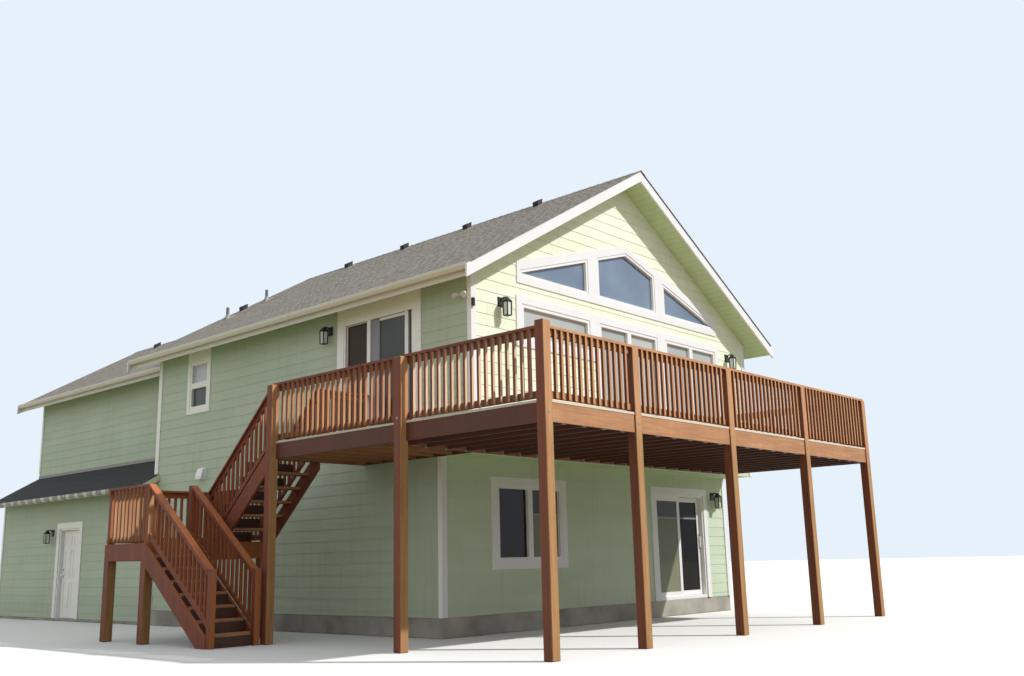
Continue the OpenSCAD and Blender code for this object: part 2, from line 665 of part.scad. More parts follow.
// Entry door: the leaf swings indoors on pins at its jamb nearest the main block
entry_mid = back_y + entry_y;
leaf_y0 = entry_mid - entry_w / 2 + frame_w + door_gap;
leaf_y1 = entry_mid + entry_w / 2 - frame_w - door_gap;
leaf_z0 = rear_slab_h + door_gap;
leaf_z1 = entry_head - frame_w - door_gap;
leaf_x1 = rear_x0 + wall_t - leaf_t / 2;
leaf_x0 = leaf_x1 - leaf_t;
pin_x = leaf_x1 + pin_r + 2;
pin_y = leaf_y0 - door_gap / 2;
hinge_h = 100;
hinges_z = [leaf_z0 + 200, (leaf_z0 + leaf_z1 - hinge_h) / 2, leaf_z1 - 200 - hinge_h];
stop_w = 15;
knob_r = 28;
module entry_door_frame() color(white_paint) {
    entry = [-entry_mid, entry_w, rear_slab_h, entry_head, 1, 1];
    on_left(rear_x0) {
        along_y(0, leaf_x1 - rear_x0) difference() {
            opening_2d(entry);
            translate([-entry_mid - entry_w / 2 + frame_w, rear_slab_h - 1])
                square([entry_w - 2 * frame_w, entry_h - frame_w + 1]);
        }
        along_y(-casing_t, casing_t) casing_2d(entry);
    }
    for (z = hinges_z) {
        translate([pin_x, pin_y, z]) cylinder(r = pin_r, h = hinge_h, $fn = 48);
        block(leaf_x1 - 1, pin_x, pin_y - pin_r - 6, pin_y - pin_r / 2, z + hinge_h * 0.35,
            z + hinge_h * 0.65);
    }
}
module entry_door() color(white_paint) {
    block(leaf_x0, leaf_x1, leaf_y0, leaf_y1, leaf_z0, leaf_z1);
    for (z = hinges_z) for (part = [0, 0.7])
        block(leaf_x1, pin_x + 2, pin_y + pin_r + seat_gap, leaf_y0 + 60, z + part * hinge_h,
            z + (part + 0.3) * hinge_h);
    for (s = [-1, 1]) translate([s < 0 ? leaf_x0 - 55 : leaf_x1 - 1, leaf_y1 - 70, leaf_z0 + 950])
        rotate([0, 90, 0]) cylinder(r = knob_r, h = 56, $fn = 32);
}

// Wall lanterns: a back plate, an arm and a four-sided lamp that widens upwards
lantern_out = 190;
module lantern(x, z) translate([x, 0, z]) {
    block(-lantern_w / 3, lantern_w / 3, -20, 0, lantern_h * 0.35, lantern_h * 0.85);
    block(-12, 12, -lantern_out / 2 - 10, -19, lantern_h * 0.78, lantern_h * 0.85);
    translate([0, -lantern_out / 2 - lantern_w * 0.08, 0]) rotate([0, 0, 45]) {
        cylinder(r1 = lantern_w * 0.4, r2 = lantern_w * 0.56, h = lantern_h * 0.72, $fn = 4);
        translate([0, 0, lantern_h * 0.72])
            cylinder(r1 = lantern_w * 0.62, r2 = lantern_w * 0.2, h = lantern_h * 0.28, $fn = 4);
    }
}
lantern_side = column_pitch + window_w / 2 + casing_w + 360;
module wall_lanterns() color(dark_metal) {
    for (s = [-1, 1]) on_front(front_y) lantern(s * lantern_side, door_head - lantern_h);
    on_left(-side_x) lantern(-(front_y + side_door_y + side_door_w / 2 + door_casing_w + 225),
        door_head - lantern_h);
    on_front(ground_front_y) lantern(patio_x + patio_w / 2 + casing_w + 260,
        ground_door_head - lantern_h + 60);
    on_left(rear_x0) lantern(-(entry_mid + entry_w / 2 + casing_w + 260), entry_head - lantern_h - 20);
}

// Deck frames: rims, ledgers and joists round the corner post
ledger_x = -side_x - joist_t;
corner_notch = cap_w;
left_post_out = post_w - joist_t;
left_posts_y = [deck_y0 + left_post_y, side_deck_y1 - post_w];
front_posts_x = [for (i = [0:3]) deck_x1 - post_w - (3 - i) * front_bay];
rail_post_top = deck_h + rail_h - cap_t;
module post(x, y, top, w = post_w) block(x, x + w, y, y + w, 0, top);
module through_posts() {
    for (y = left_posts_y) post(deck_x0 - left_post_out, y, rail_post_top);
    for (x = front_posts_x) post(x, deck_y0 + corner_notch - post_w, rail_post_top);
}
module corner_cut(z0) block(deck_x0 - 1, deck_x0 + corner_notch, deck_y0 - 1, deck_y0 + corner_notch, z0,
    deck_h + 1);
module front_deck_frame() color(deck_wood) difference() {
    y1 = front_y - joist_t;
    union() {
        block(deck_x0, deck_x1, deck_y0, deck_y0 + joist_t, rim_z, rim_z + joist_h);
        block(deck_x0, deck_x1, y1, front_y, rim_z, rim_z + joist_h);
        for (x = [deck_x0, deck_x1 - joist_t])
            block(x, x + joist_t, deck_y0, front_y, rim_z, rim_z + joist_h);
        for (x = [deck_x0 + joist_pitch:joist_pitch:deck_x1 - 2 * joist_t])
            block(x, x + joist_t, deck_y0 + joist_t - 1, y1 + 1, rim_z, rim_z + joist_h);
    }
    corner_cut(rim_z - 1);
    through_posts();
}
module side_deck_frame() color(deck_wood) difference() {
    union() {
        for (x = [deck_x0, ledger_x]) block(x, x + joist_t, front_y, side_deck_y1, rim_z, rim_z + joist_h);
        for (y = [front_y + joist_pitch:joist_pitch:side_deck_y1 - 2 * joist_t])
            block(deck_x0, -side_x, y, y + joist_t, rim_z, rim_z + joist_h);
        block(deck_x0, -side_x, side_deck_y1 - joist_t, side_deck_y1, rim_z, rim_z + joist_h);
    }
    through_posts();
}
module deck_boards() color(deck_wood) difference() {
    union() {
        block(deck_x0, deck_x1, deck_y0, front_y, deck_h - board_t, deck_h);
        block(deck_x0, -side_x, front_y - 1, side_deck_y1, deck_h - board_t, deck_h);
    }
    corner_cut(0);
    through_posts();
}

// Posts: the deck's posts run up past its edge to the railings' cap, the landing's end under it
corner_post_top = deck_h + rail_h + 60;
landing_z0 = landing_h - board_t - joist_h;
module deck_posts() color(deck_wood) {
    post(deck_x0 + corner_notch - post_w, deck_y0 + corner_notch - post_w, corner_post_top);
    through_posts();
    for (x = [lower_x0, flight_x1 - post_w]) post(x, landing_y1 - post_w, landing_z0);
    post(lower_x0, lower_y0, landing_z0);
    post(flight_x1 - post_w, landing_y0, landing_z0);
}

// A level railing along X from 0 to span over the edge of a floor at z = 0, with its outdoor side
// at y = 0. Its own rail posts start at each x in posts. Its balusters leave out each stretch in
// gaps, where a deck post stands, and so do its rails if cut is set
rail_in = (cap_w - rail_t) / 2;
module rails(x0, x1) for (z = [rail_foot, rail_h - cap_t - rail_d])
    translate([x0, rail_in, z]) cube([x1 - x0, rail_t, rail_d]);
module balusters(x0, x1) {
    count = max(1, round((x1 - x0) / baluster_pitch) - 1);
    for (i = [1:count])
        translate([x0 + i * (x1 - x0) / (count + 1) - rail_t / 2, rail_in - rail_t, rail_foot])
            cube([rail_t, rail_t + 1, rail_h - cap_t - rail_foot]);
}
module railing(span, posts = [], gaps = [], cut = false) {
    edges = concat([0], [for (g = gaps, e = g) e], [span]);
    bays = [for (k = [0:2:2 * len(gaps)]) if (edges[k + 1] - edges[k] > baluster_pitch)
        [edges[k], edges[k + 1]]];
    translate([0, 0, rail_h - cap_t]) cube([span, cap_w, cap_t]);
    if (!cut) rails(0, span);
    for (b = bays) {
        balusters(b[0], b[1]);
        if (cut) rails(b[0], b[1]);
    }
    for (x = posts) translate([x, (cap_w - rail_post_w) / 2, 0])
        cube([rail_post_w, rail_post_w, rail_h - cap_t + 1]);
}
module facing_front(x, y, z) translate([x, y, z]) children();
module facing_left(x, y, z) translate([x, y, z]) rotate([0, 0, -90]) children();
module facing_right(x, y, z) translate([x, y, z]) rotate([0, 0, 90]) children();
module facing_back(x, y, z) translate([x, y, z]) rotate([0, 0, 180]) children();
front_rail_x0 = deck_x0 + corner_notch;
post_inset = (post_w - rail_post_w) / 2;
front_gaps = [for (x = front_posts_x) [x - front_rail_x0, x - front_rail_x0 + post_w]];
module front_railing() color(deck_wood) facing_front(front_rail_x0, deck_y0, deck_h)
    railing(deck_x1 - front_rail_x0, [], front_gaps, true);
module side_railings() color(deck_wood) {
    facing_left(deck_x0, side_deck_y1, deck_h) railing(side_deck_y1 - deck_y0 - corner_notch, [],
        [for (i = [1, 0]) [side_deck_y1 - left_posts_y[i] - post_w, side_deck_y1 - left_posts_y[i]]]);
    facing_right(deck_x1, deck_y0 + corner_notch, deck_h)
        railing(front_y - casing_t - deck_y0 - corner_notch);
    facing_back(-side_x, side_deck_y1, deck_h)
        railing(-side_x - flight_x1, [-side_x - flight_x1 - rail_post_w]);
    facing_left(lower_x0, landing_y1 - cap_w, landing_h)
        railing(landing_y1 - cap_w - lower_y0, [landing_y1 - cap_w - lower_y0 - rail_post_w]);
    facing_right(flight_x1, landing_y0 + rail_post_w, landing_h)
        railing(landing_y1 - cap_w - landing_y0 - rail_post_w);
}

// Landing: boards on rims, L-shaped in plan, with a level railing along its rear edge
module landing_2d() polygon([[lower_x0, lower_y0], [lower_x1, lower_y0], [lower_x1, landing_y0],
    [flight_x1, landing_y0], [flight_x1, landing_y1], [lower_x0, landing_y1]]);
landing_mid_y = (lower_y0 + landing_y1) / 2;
module stair_landing() color(deck_wood) {
    translate([0, 0, landing_h - board_t]) linear_extrude(board_t) landing_2d();
    for (y = [lower_y0, landing_mid_y, landing_y1 - joist_t])
        block(lower_x0, flight_x1, y, y + joist_t, landing_z0, landing_h - 1);
    for (x = [lower_x1, flight_x1 - joist_t])
        block(x, x + joist_t, landing_y0, landing_y1, landing_z0, landing_h - 1);
    block(lower_x1, flight_x1, landing_y0, landing_y0 + joist_t, landing_z0, landing_h - 1);
    block(lower_x0, lower_x0 + joist_t, lower_y0, landing_y1, landing_z0, landing_h - 1);
}
module landing_railings() color(deck_wood) facing_back(flight_x1, landing_y1, landing_h)
    railing(flight_x1 - lower_x0, [post_inset, flight_x1 - lower_x0 - rail_post_w - post_inset]);

// Stair: the upper flight goes down towards the rear, the lower one towards the front
stringer_h = 330;
module stringer(x, y, z, dir, run, drop) intersection() {
    along_x(x, joist_t) polygon([[y, z], [y, z - stringer_h], [y + dir * run, z - stringer_h - drop],
        [y + dir * run, z - drop]]);
    block(x, x + joist_t, y - run, y + run, 0, z);
}
upper_run = (upper_risers - 1) * upper_going;
upper_drop = (upper_risers - 1) * upper_riser;
lower_run = (lower_risers - 1) * lower_going;
lower_drop = (lower_risers - 1) * lower_riser;
module stair_stringers() color(deck_wood) {
    for (x = [deck_x0, flight_x1 - joist_t])
        stringer(x, side_deck_y1, deck_h - tread_t, 1, upper_run, upper_drop);
    for (x = [lower_x0, lower_x1 - joist_t])
        stringer(x, lower_y0, landing_h - tread_t, -1, lower_run, lower_drop);
}
module stair_treads() color(deck_wood) {
    for (k = [1:upper_risers - 1])
        block(deck_x0 + joist_t, flight_x1 - joist_t, side_deck_y1 + (k - 1) * upper_going,
            side_deck_y1 + k * upper_going, deck_h - k * upper_riser - tread_t, deck_h - k * upper_riser);
    for (k = [1:lower_risers - 1])
        block(lower_x0 + joist_t, lower_x1 - joist_t, lower_y0 - k * lower_going,
            lower_y0 - (k - 1) * lower_going, landing_h - k * lower_riser - tread_t,
            landing_h - k * lower_riser);
}

// A sloping railing over a flight, from the nosing at y, z down over run and drop, with a post at
// its low end that stands at low_post, and one at its high end if high_post is set
module stair_railing(x, y, z, dir, run, drop, low_post, high_post) {
    module band(low, high) polygon([[y, z + low], [y, z + high], [y + dir * run, z + high - drop],
        [y + dir * run, z + low - drop]]);
    along_x(x, cap_w) band(rail_h - cap_t, rail_h);
    along_x(x + rail_in, rail_t) {
        band(rail_h - cap_t - rail_d, rail_h - cap_t + 1);
        difference() {
            band(rail_foot + tread_t, rail_foot + tread_t + rail_d);
            translate([y - 2 * run, -drop]) square([4 * run, low_post + drop + rail_foot / 2]);
        }
    }
    count = max(1, round(run / baluster_pitch) - 1);
    for (i = [1:count]) along_y(y + dir * i * run / (count + 1) - rail_t / 2, rail_t)
        translate([x + rail_in, z - i * drop / (count + 1) + rail_foot + tread_t])
            square([rail_t + 1, rail_h - cap_t - rail_foot - tread_t]);
    module newel(y0, z0, z1) block(x + (cap_w - rail_post_w) / 2, x + (cap_w + rail_post_w) / 2,
        min(y0, y0 + dir * rail_post_w), max(y0, y0 + dir * rail_post_w), z0, z1);
    newel(y + dir * run, low_post, z - drop + rail_h);
    if (high_post) newel(y - dir * rail_post_w, z, z + rail_h);
}
upper_rail_run = lower_y0 - rail_post_w - side_deck_y1;
upper_slope = upper_riser / upper_going;
module stair_railings() color(deck_wood) {
    stair_railing(deck_x0, side_deck_y1, deck_h, 1, upper_rail_run, upper_slope * upper_rail_run,
        landing_h, false);
    stair_railing(flight_x1 - cap_w, side_deck_y1, deck_h, 1, upper_run, upper_drop, landing_h, true);
    for (x = [lower_x0, lower_x1 - cap_w])
        stair_railing(x, lower_y0, landing_h, -1, lower_run, lower_drop, 0, x != lower_x0);
}

main_slab();
ground_side_walls();
front_wall_left();
front_wall_right();
front_wall_over_door();
upper_floor();
front_gable_wall();
left_wall_upper();
right_wall_upper();
main_back_wall();
main_roof();
rear_slab();
rear_side_wall_front();
rear_side_wall_back();
rear_side_wall_over_door();
rear_right_wall();
rear_upper_floor();
rear_upper_side_walls();
rear_end_wall();
rear_roof();
skirt_roofs();
barge_boards();
gutters();
roof_vents();
corner_boards();
gable_windows();
side_windows();
upper_glass();
ground_glass();
patio_door_frame();
patio_sliding_panel();
patio_sliding_glass();
entry_door_frame();
entry_door();
wall_lanterns();
front_deck_frame();
side_deck_frame();
deck_boards();
deck_posts();
front_railing();
side_railings();
stair_stringers();
stair_treads();
stair_landing();
stair_railings();
landing_railings();
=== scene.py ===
import bpy
import json
import math
import random
from mathutils import Matrix, Vector

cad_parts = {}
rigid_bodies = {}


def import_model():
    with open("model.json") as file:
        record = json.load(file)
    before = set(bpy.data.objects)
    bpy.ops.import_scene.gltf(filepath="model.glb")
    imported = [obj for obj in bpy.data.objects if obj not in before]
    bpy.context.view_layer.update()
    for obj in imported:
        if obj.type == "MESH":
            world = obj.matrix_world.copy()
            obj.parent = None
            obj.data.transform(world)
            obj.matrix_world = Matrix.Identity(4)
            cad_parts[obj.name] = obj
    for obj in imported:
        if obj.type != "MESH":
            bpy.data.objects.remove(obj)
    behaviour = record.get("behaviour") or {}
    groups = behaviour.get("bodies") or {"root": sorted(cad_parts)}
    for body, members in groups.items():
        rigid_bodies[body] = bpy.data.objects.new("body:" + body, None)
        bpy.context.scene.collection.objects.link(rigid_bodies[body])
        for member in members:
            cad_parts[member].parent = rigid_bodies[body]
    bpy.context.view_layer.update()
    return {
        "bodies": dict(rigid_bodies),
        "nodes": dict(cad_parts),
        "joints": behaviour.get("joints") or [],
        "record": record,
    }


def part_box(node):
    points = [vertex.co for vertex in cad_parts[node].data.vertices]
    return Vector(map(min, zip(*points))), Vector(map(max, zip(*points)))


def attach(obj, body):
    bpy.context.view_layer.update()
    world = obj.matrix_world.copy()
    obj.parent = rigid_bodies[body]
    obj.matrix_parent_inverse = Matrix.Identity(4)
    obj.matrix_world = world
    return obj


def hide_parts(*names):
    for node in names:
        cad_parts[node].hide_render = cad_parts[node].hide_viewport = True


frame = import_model()
cad = frame["nodes"]


class Sizes(dict):  # a dictionary whose values can also be read as house.side
    __getattr__ = dict.__getitem__


def hexColour(text):  # a colour picker's hex code as linear light
    parts = [int(text[i:i + 2], 16) / 255 for i in (1, 3, 5)]
    return tuple(c / 12.92 if c < 0.04045 else ((c + 0.055) / 1.055) ** 2.4 for c in parts) + (1.0,)


# Camera: measured from the photo's straight edges, in metres from the middle of the house's base
cameraSpot = Sizes(place=(-15.172, -15.368, 1.128), lens=35.6, reach=500,
                   right=(0.67073873, -0.74132437, -0.02340361), down=(0.143658, 0.16080684, -0.97647506))


def makeCamera():
    right = Vector(cameraSpot.right).normalized()
    back = right.cross(-Vector(cameraSpot.down)).normalized()
    camera = bpy.data.objects.new("camera", bpy.data.cameras.new("camera"))
    camera.data.lens, camera.data.clip_end = cameraSpot.lens, cameraSpot.reach
    turn = Matrix((right, back.cross(right), back)).transposed().to_4x4()
    camera.matrix_world = Matrix.Translation(cameraSpot.place) @ turn
    bpy.context.collection.objects.link(camera)
    bpy.context.scene.camera = camera


makeCamera()
print("camera placed")


class Wire:  # a socket that can be used in sums
    def __init__(self, nodes, socket):
        self.nodes, self.socket = nodes, socket

    def __add__(self, other): return self.nodes.maths("ADD", self, other)
    def __radd__(self, other): return self.nodes.maths("ADD", other, self)
    def __sub__(self, other): return self.nodes.maths("SUBTRACT", self, other)
    def __rsub__(self, other): return self.nodes.maths("SUBTRACT", other, self)
    def __mul__(self, other): return self.nodes.maths("MULTIPLY", self, other)
    def __rmul__(self, other): return self.nodes.maths("MULTIPLY", other, self)


class Nodes:  # a node tree and short ways to add to it
    def __init__(self, tree):
        self.tree = tree

    def link(self, value, socket):
        if isinstance(value, Wire):
            self.tree.links.new(value.socket, socket)
        elif value is not None:
            socket.default_value = value

    def node(self, kind, settings=None, *values, out=0, **named):
        made = self.tree.nodes.new("ShaderNode" + kind)
        for key, value in (settings or {}).items():
            if key == "stops":
                while len(made.color_ramp.elements) < len(value):
                    made.color_ramp.elements.new(0.5)
                for stop, (place, colour) in zip(made.color_ramp.elements, value):
                    stop.position, stop.color = place, colour
            else:
                setattr(made, key, value)
        for socket, value in zip(made.inputs, values):
            self.link(value, socket)
        for name, value in named.items():
            self.link(value, made.inputs[name.replace("_", " ")])
        return Wire(self, made.outputs[out])

    def maths(self, operation, *values):
        return self.node("Math", {"operation": operation}, *values)

    def mix(self, share, first, second):
        made = self.tree.nodes.new("ShaderNodeMix")
        made.data_type, made.clamp_result = "RGBA", True
        for socket, value in ((0, share), (6, first), (7, second)):
            self.link(hexColour(value) if isinstance(value, str) else value, made.inputs[socket])
        return Wire(self, made.outputs[2])

    def seen(self):  # 1 where the camera, a reflection or glass looks at it
        camera, glossy, glass = [self.node("LightPath", out="Is %s Ray" % way)
                                 for way in ("Camera", "Glossy", "Transmission")]
        return self.maths("MAXIMUM", self.maths("MAXIMUM", camera, glossy), glass)


class Finish(Nodes):  # one material
    def __init__(self, name, base="#808080", roughness=0.6, **shader):
        self.material = bpy.data.materials.new(name)
        self.material.use_nodes = True
        super().__init__(self.material.node_tree)
        self.shader = self.tree.nodes["Principled BSDF"]
        self.set(Base_Color=hexColour(base), Roughness=roughness, **shader)

    def set(self, **sockets):
        for name, value in sockets.items():
            self.link(value, self.shader.inputs[name.replace("_", " ")])

    def place(self, scale=(1, 1, 1), shift=(0, 0, 0)):  # where on the object, in metres
        spot = self.node("TexCoord", out="Object")
        if isinstance(shift, Wire):
            spot = self.node("VectorMath", {"operation": "ADD"}, spot, shift)
        return self.node("VectorMath", {"operation": "MULTIPLY"}, spot, scale)

    def axis(self, vector, letter):
        return self.node("SeparateXYZ", None, vector, out=letter)

    def facing(self, letter):  # how far a face looks along an axis
        return self.axis(self.node("TexCoord", out="Normal"), letter)

    def noise(self, vector, scale, detail=4.0, roughness=0.55):
        return self.node("TexNoise", None, Vector=vector, Scale=scale, Detail=detail, Roughness=roughness)

    def ramp(self, value, *stops):
        return self.node("ValToRGB", {"stops": [(place, (c, c, c, 1.0)) for place, c in stops]}, value)

    def span(self, value, low, high, first=0.0, last=1.0):
        return self.node("MapRange", None, value, low, high, first, last)

    def tone(self):  # the number that each board or shingle carries
        return self.node("Attribute", {"attribute_name": "tone"}, out="Fac")

    def paint(self, colour, roughness, height, depth, strength):
        if strength:
            self.set(Normal=self.node("Bump", None, Strength=strength, Distance=depth, Height=height))
        self.set(Base_Color=colour, Roughness=roughness)
        return self.material


# Painted light: sunny and sunnyFaded are the siding's colours where the sun falls, painted lighter; sunnyTrim
# is the trim's colour where the sun falls, painted duller so that its shaded faces stay brighter
paintLook = Sizes(siding="#b8c6ae", faded="#c4d1bc", sunny="#dde5cc", sunnyFaded="#e8edda",
                  fadeZ=(2.75, 3.05), dirt="#8b967c", trim="#fbfaf5", sunnyTrim="#dbdcdf", gutter="#d6d2be",
                  soffit="#c8dfb2", soffitLine="#9aae86", streak="#c2c0b6", rust=("#7c7c79", "#a1a19c"),
                  band=0.43, half=0.18)
# dark, middle and red colour the shaded faces; the two-colour pairs colour the faces where the sun falls,
# partly sun-worn wood and partly painted sunlight; under and rim are painted shade; stairDeep is the stairs'
# redder stain
woodLook = Sizes(dark="#472315", middle="#7c4327", red="#904926", under="#291a14", rim="#471f08",
                 stairDeep="#7a3217", sun=("#a36c45", "#c4986c"), silverAndPaintedSun=("#d3ae8d", "#e6cdb0"),
                 post=("#8f5f36", "#ad8655"), stair=("#b0602f", "#c88550"), postZ=(2.6, 3.0))
roofLook = dict(main=("#38342f", "#7b7771", "#b6b1a9", "#968770"),  # shade, middle, pale, warm
                pent=("#242425", "#303031", "#424243", "#36322e"))


def sidingPaint():
    f, look = Finish("sage siding paint"), paintLook
    spot = f.place()
    grain = f.noise(f.place((6, 6, 60)), 2.2, 6.0, 0.6)
    streaks = f.noise(f.place((9, 9, 0.5)), 1.0, 5.0, 0.6)
    patch = f.ramp(f.noise(spot, 0.55, 3.0), (0.3, 0.0), (0.75, 1.0))
    # painted sunlight: faces looking to the front (-y) above the deck's height take the lighter sunny colours
    sunny = f.span(f.axis(spot, "Z"), *look.fadeZ) * (0.0 - f.facing("Y"))
    colour = f.mix(sunny, f.mix(patch, look.siding, look.faded), f.mix(patch, look.sunny, look.sunnyFaded))
    low = f.span(f.axis(spot, "Z"), 0.0, 1.1, 0.35, 0.0)
    for share in (f.tone() * 0.13, f.ramp(streaks, (0.52, 0.0), (0.8, 0.22)), low * f.noise(spot, 5.0)):
        colour = f.mix(share, colour, look.dirt)
    return f.paint(colour, 0.55 + grain * 0.16, grain, 0.0015, 0.55)


# Two colours: rough is a level and a spread, grain and patch are noises, stops give the second's share
def coat(name, first, second, rough, grain, stops, bump, patch=None, metallic=0.0, sunny=None):
    f = Finish(name, first, Metallic=metallic)
    fine = f.noise(f.place(grain[0]), *grain[1:])
    wide = f.noise(f.place(), *patch) if patch else fine
    if sunny:  # painted light: faces looking to the front (-y), where the sun falls, take the duller colour
        first = f.mix(0.0 - f.facing("Y"), first, sunny)
    return f.paint(f.mix(f.ramp(wide, *stops), first, second), rough[0] + fine * rough[1], fine, *bump)


def whitePaint(name, colour, roughness=0.42, streak=paintLook.streak, sunny=None):
    return coat(name, colour, streak, (roughness, 0.14), ((9, 9, 9), 7.0, 5.0, 0.6),
                ((0.5, 0.0), (0.8, 0.28)), (0.0008, 0.4), (1.7, 5.0, 0.65), sunny=sunny)


def metal(name, colour, roughness, metallic=0.0, rub="#4a4a48"):
    return coat(name, colour, rub, (roughness, 0.18), ((1, 1, 1), 22.0, 6.0, 0.7), ((0.6, 0.0), (0.8, 0.5)),
                (0.0006, 0.4), metallic=metallic)


def oldGutterPaint():  # grey from the weather, with pale bands at even steps along it
    f, look = Finish("weathered gutter"), paintLook
    spot = f.place()
    along = f.axis(spot, "Y") * (1 / look.band) + f.noise(spot, 1.3) * 0.25
    share = f.ramp(f.maths("PINGPONG", along, 0.5), (look.half - 0.03, 1.0), (look.half + 0.04, 0.0))
    grime = f.noise(spot, 9.0, 6.0, 0.65)
    colour = f.mix(share, f.mix(grime, *look.rust), look.gutter)
    return f.paint(colour, 0.4 + grime * 0.25, grime, 0.0008, 0.4)


def soffitPaint():  # boards that run along the house, seen from below
    f = Finish("soffit paint")
    groove = f.node("TexWave", {"wave_type": "BANDS", "bands_direction": "X"}, Vector=f.place(), Scale=2.6)
    line = f.ramp(groove, (0.0, 1.0), (0.08, 0.0))
    grime = f.ramp(f.noise(f.place(), 1.4, 5.0, 0.6), (0.45, 0.0), (0.8, 0.4))
    colour = f.mix(grime, paintLook.soffit, paintLook.soffitLine)
    return f.paint(f.mix(line * 0.35, colour, paintLook.soffitLine), 0.6, 1.0 - line, 0.003, 0.3)


# Lit and shaded copies of one stain: faces that look up or to the front (-y), where the sun falls, take the
# paler sun colours, partly sun-worn wood and partly painted sunlight. The fourth argument mixes towards the
# deep colour: a darker stain on the stairs, painted shade on the rims and the deck's underside.
def stainedWood(name, grain, bleachAndPaintedSun=1.0, shadeAndStainShare=0.0, sun="sun", deep="under", foot=None):
    f, look = Finish(name), woodLook
    tone = f.tone()
    shift =f.node("CombineXYZ", None, tone * 7.0, tone * 3.0, tone * 5.0)
    rings = f.noise(f.place(tuple(1.6 if a == grain else 26 for a in "XYZ"), shift), 1.0, 7.0, 0.62)
    share = f.ramp(rings, (0.3, 0.0), (0.72, 1.0))
    pieces = f.ramp(f.noise(f.place((7.5, 7.5, 0.3)), 1.0, 1.0), (0.35, 0.0), (0.65, 1.0))
    blotch = f.noise(f.place(), 1.1, 5.0, 0.65)
    shaded = f.mix(share, look.dark, look.middle)
    shaded = f.mix(pieces * 0.5 + tone * 0.3, shaded, look.red)
    sunny = f.mix(share, *look[sun])
    sunny = f.mix(pieces * 0.35 + tone * 0.2, sunny, look[sun][0])
    if foot:  # a post's part below the deck
        below = f.span(f.axis(f.place(), "Z"), *look.postZ, 1.0, 0.0)
        sunny = f.mix(below, sunny, f.mix(share, *look[foot]))
    lit = f.facing("Z") * 0.75 - f.facing("Y")
    reach = f.ramp(lit * bleachAndPaintedSun + blotch * 0.5 - 0.25, (0.05, 0.0), (0.95, 1.0))
    colour = f.mix(shadeAndStainShare, f.mix(reach, shaded, sunny), look[deep])
    return f.paint(colour, 0.5 + rings * 0.3, rings, 0.003, 0.5)


def shingles(name, shade, middle, pale, warm):
    f = Finish(name)
    tone, grit = f.tone(), f.noise(f.place(), 150.0, 3.0, 0.7)
    ticks = f.ramp(f.noise(f.place((8, 13, 8)), 1.0, 2.0, 0.6), (0.42, 0.0), (0.58, 1.0))
    blotch = f.noise(f.place(), 0.8, 4.0)
    warmth = f.ramp(f.noise(f.place((3, 7, 3)), 1.0, 2.0), (0.45, 0.0), (0.65, 0.4))
    colour = f.mix(tone * 0.75 + ticks * 0.25, shade, pale)
    colour = f.mix(warmth, f.mix(0.2, colour, f.mix(blotch, shade, middle)), warm)
    colour = f.mix(f.ramp(grit, (0.38, 0.0), (0.62, 0.5)), colour, f.mix(tone, middle, shade))
    return f.paint(colour, 0.93, grit, 0.002, 0.8)


def paneGlass(name, deep, pale, alpha=0.93, gloss=0.5, line=None, above=None):  # line: a reflected horizon
    f = Finish(name, IOR=1.5, Specular_IOR_Level=gloss, Alpha=alpha)
    spot = f.place()
    colour = f.mix(f.ramp(f.noise(spot, 0.6, 3.0), (0.35, 0.0), (0.7, 1.0)), deep, pale)
    if line:
        height = f.axis(spot, "Z")
        colour = f.mix(f.span(height, line - 0.01, line + 0.01), colour, above)
        near = f.span(f.maths("ABSOLUTE", height - line), 0.008, 0.022, 0.6, 0.0)
        colour = f.mix(near, colour, "#a3a7a4")
    return f.paint(colour, 0.04, f.noise(spot, 0.9, 1.0), 0.004, 0.08)


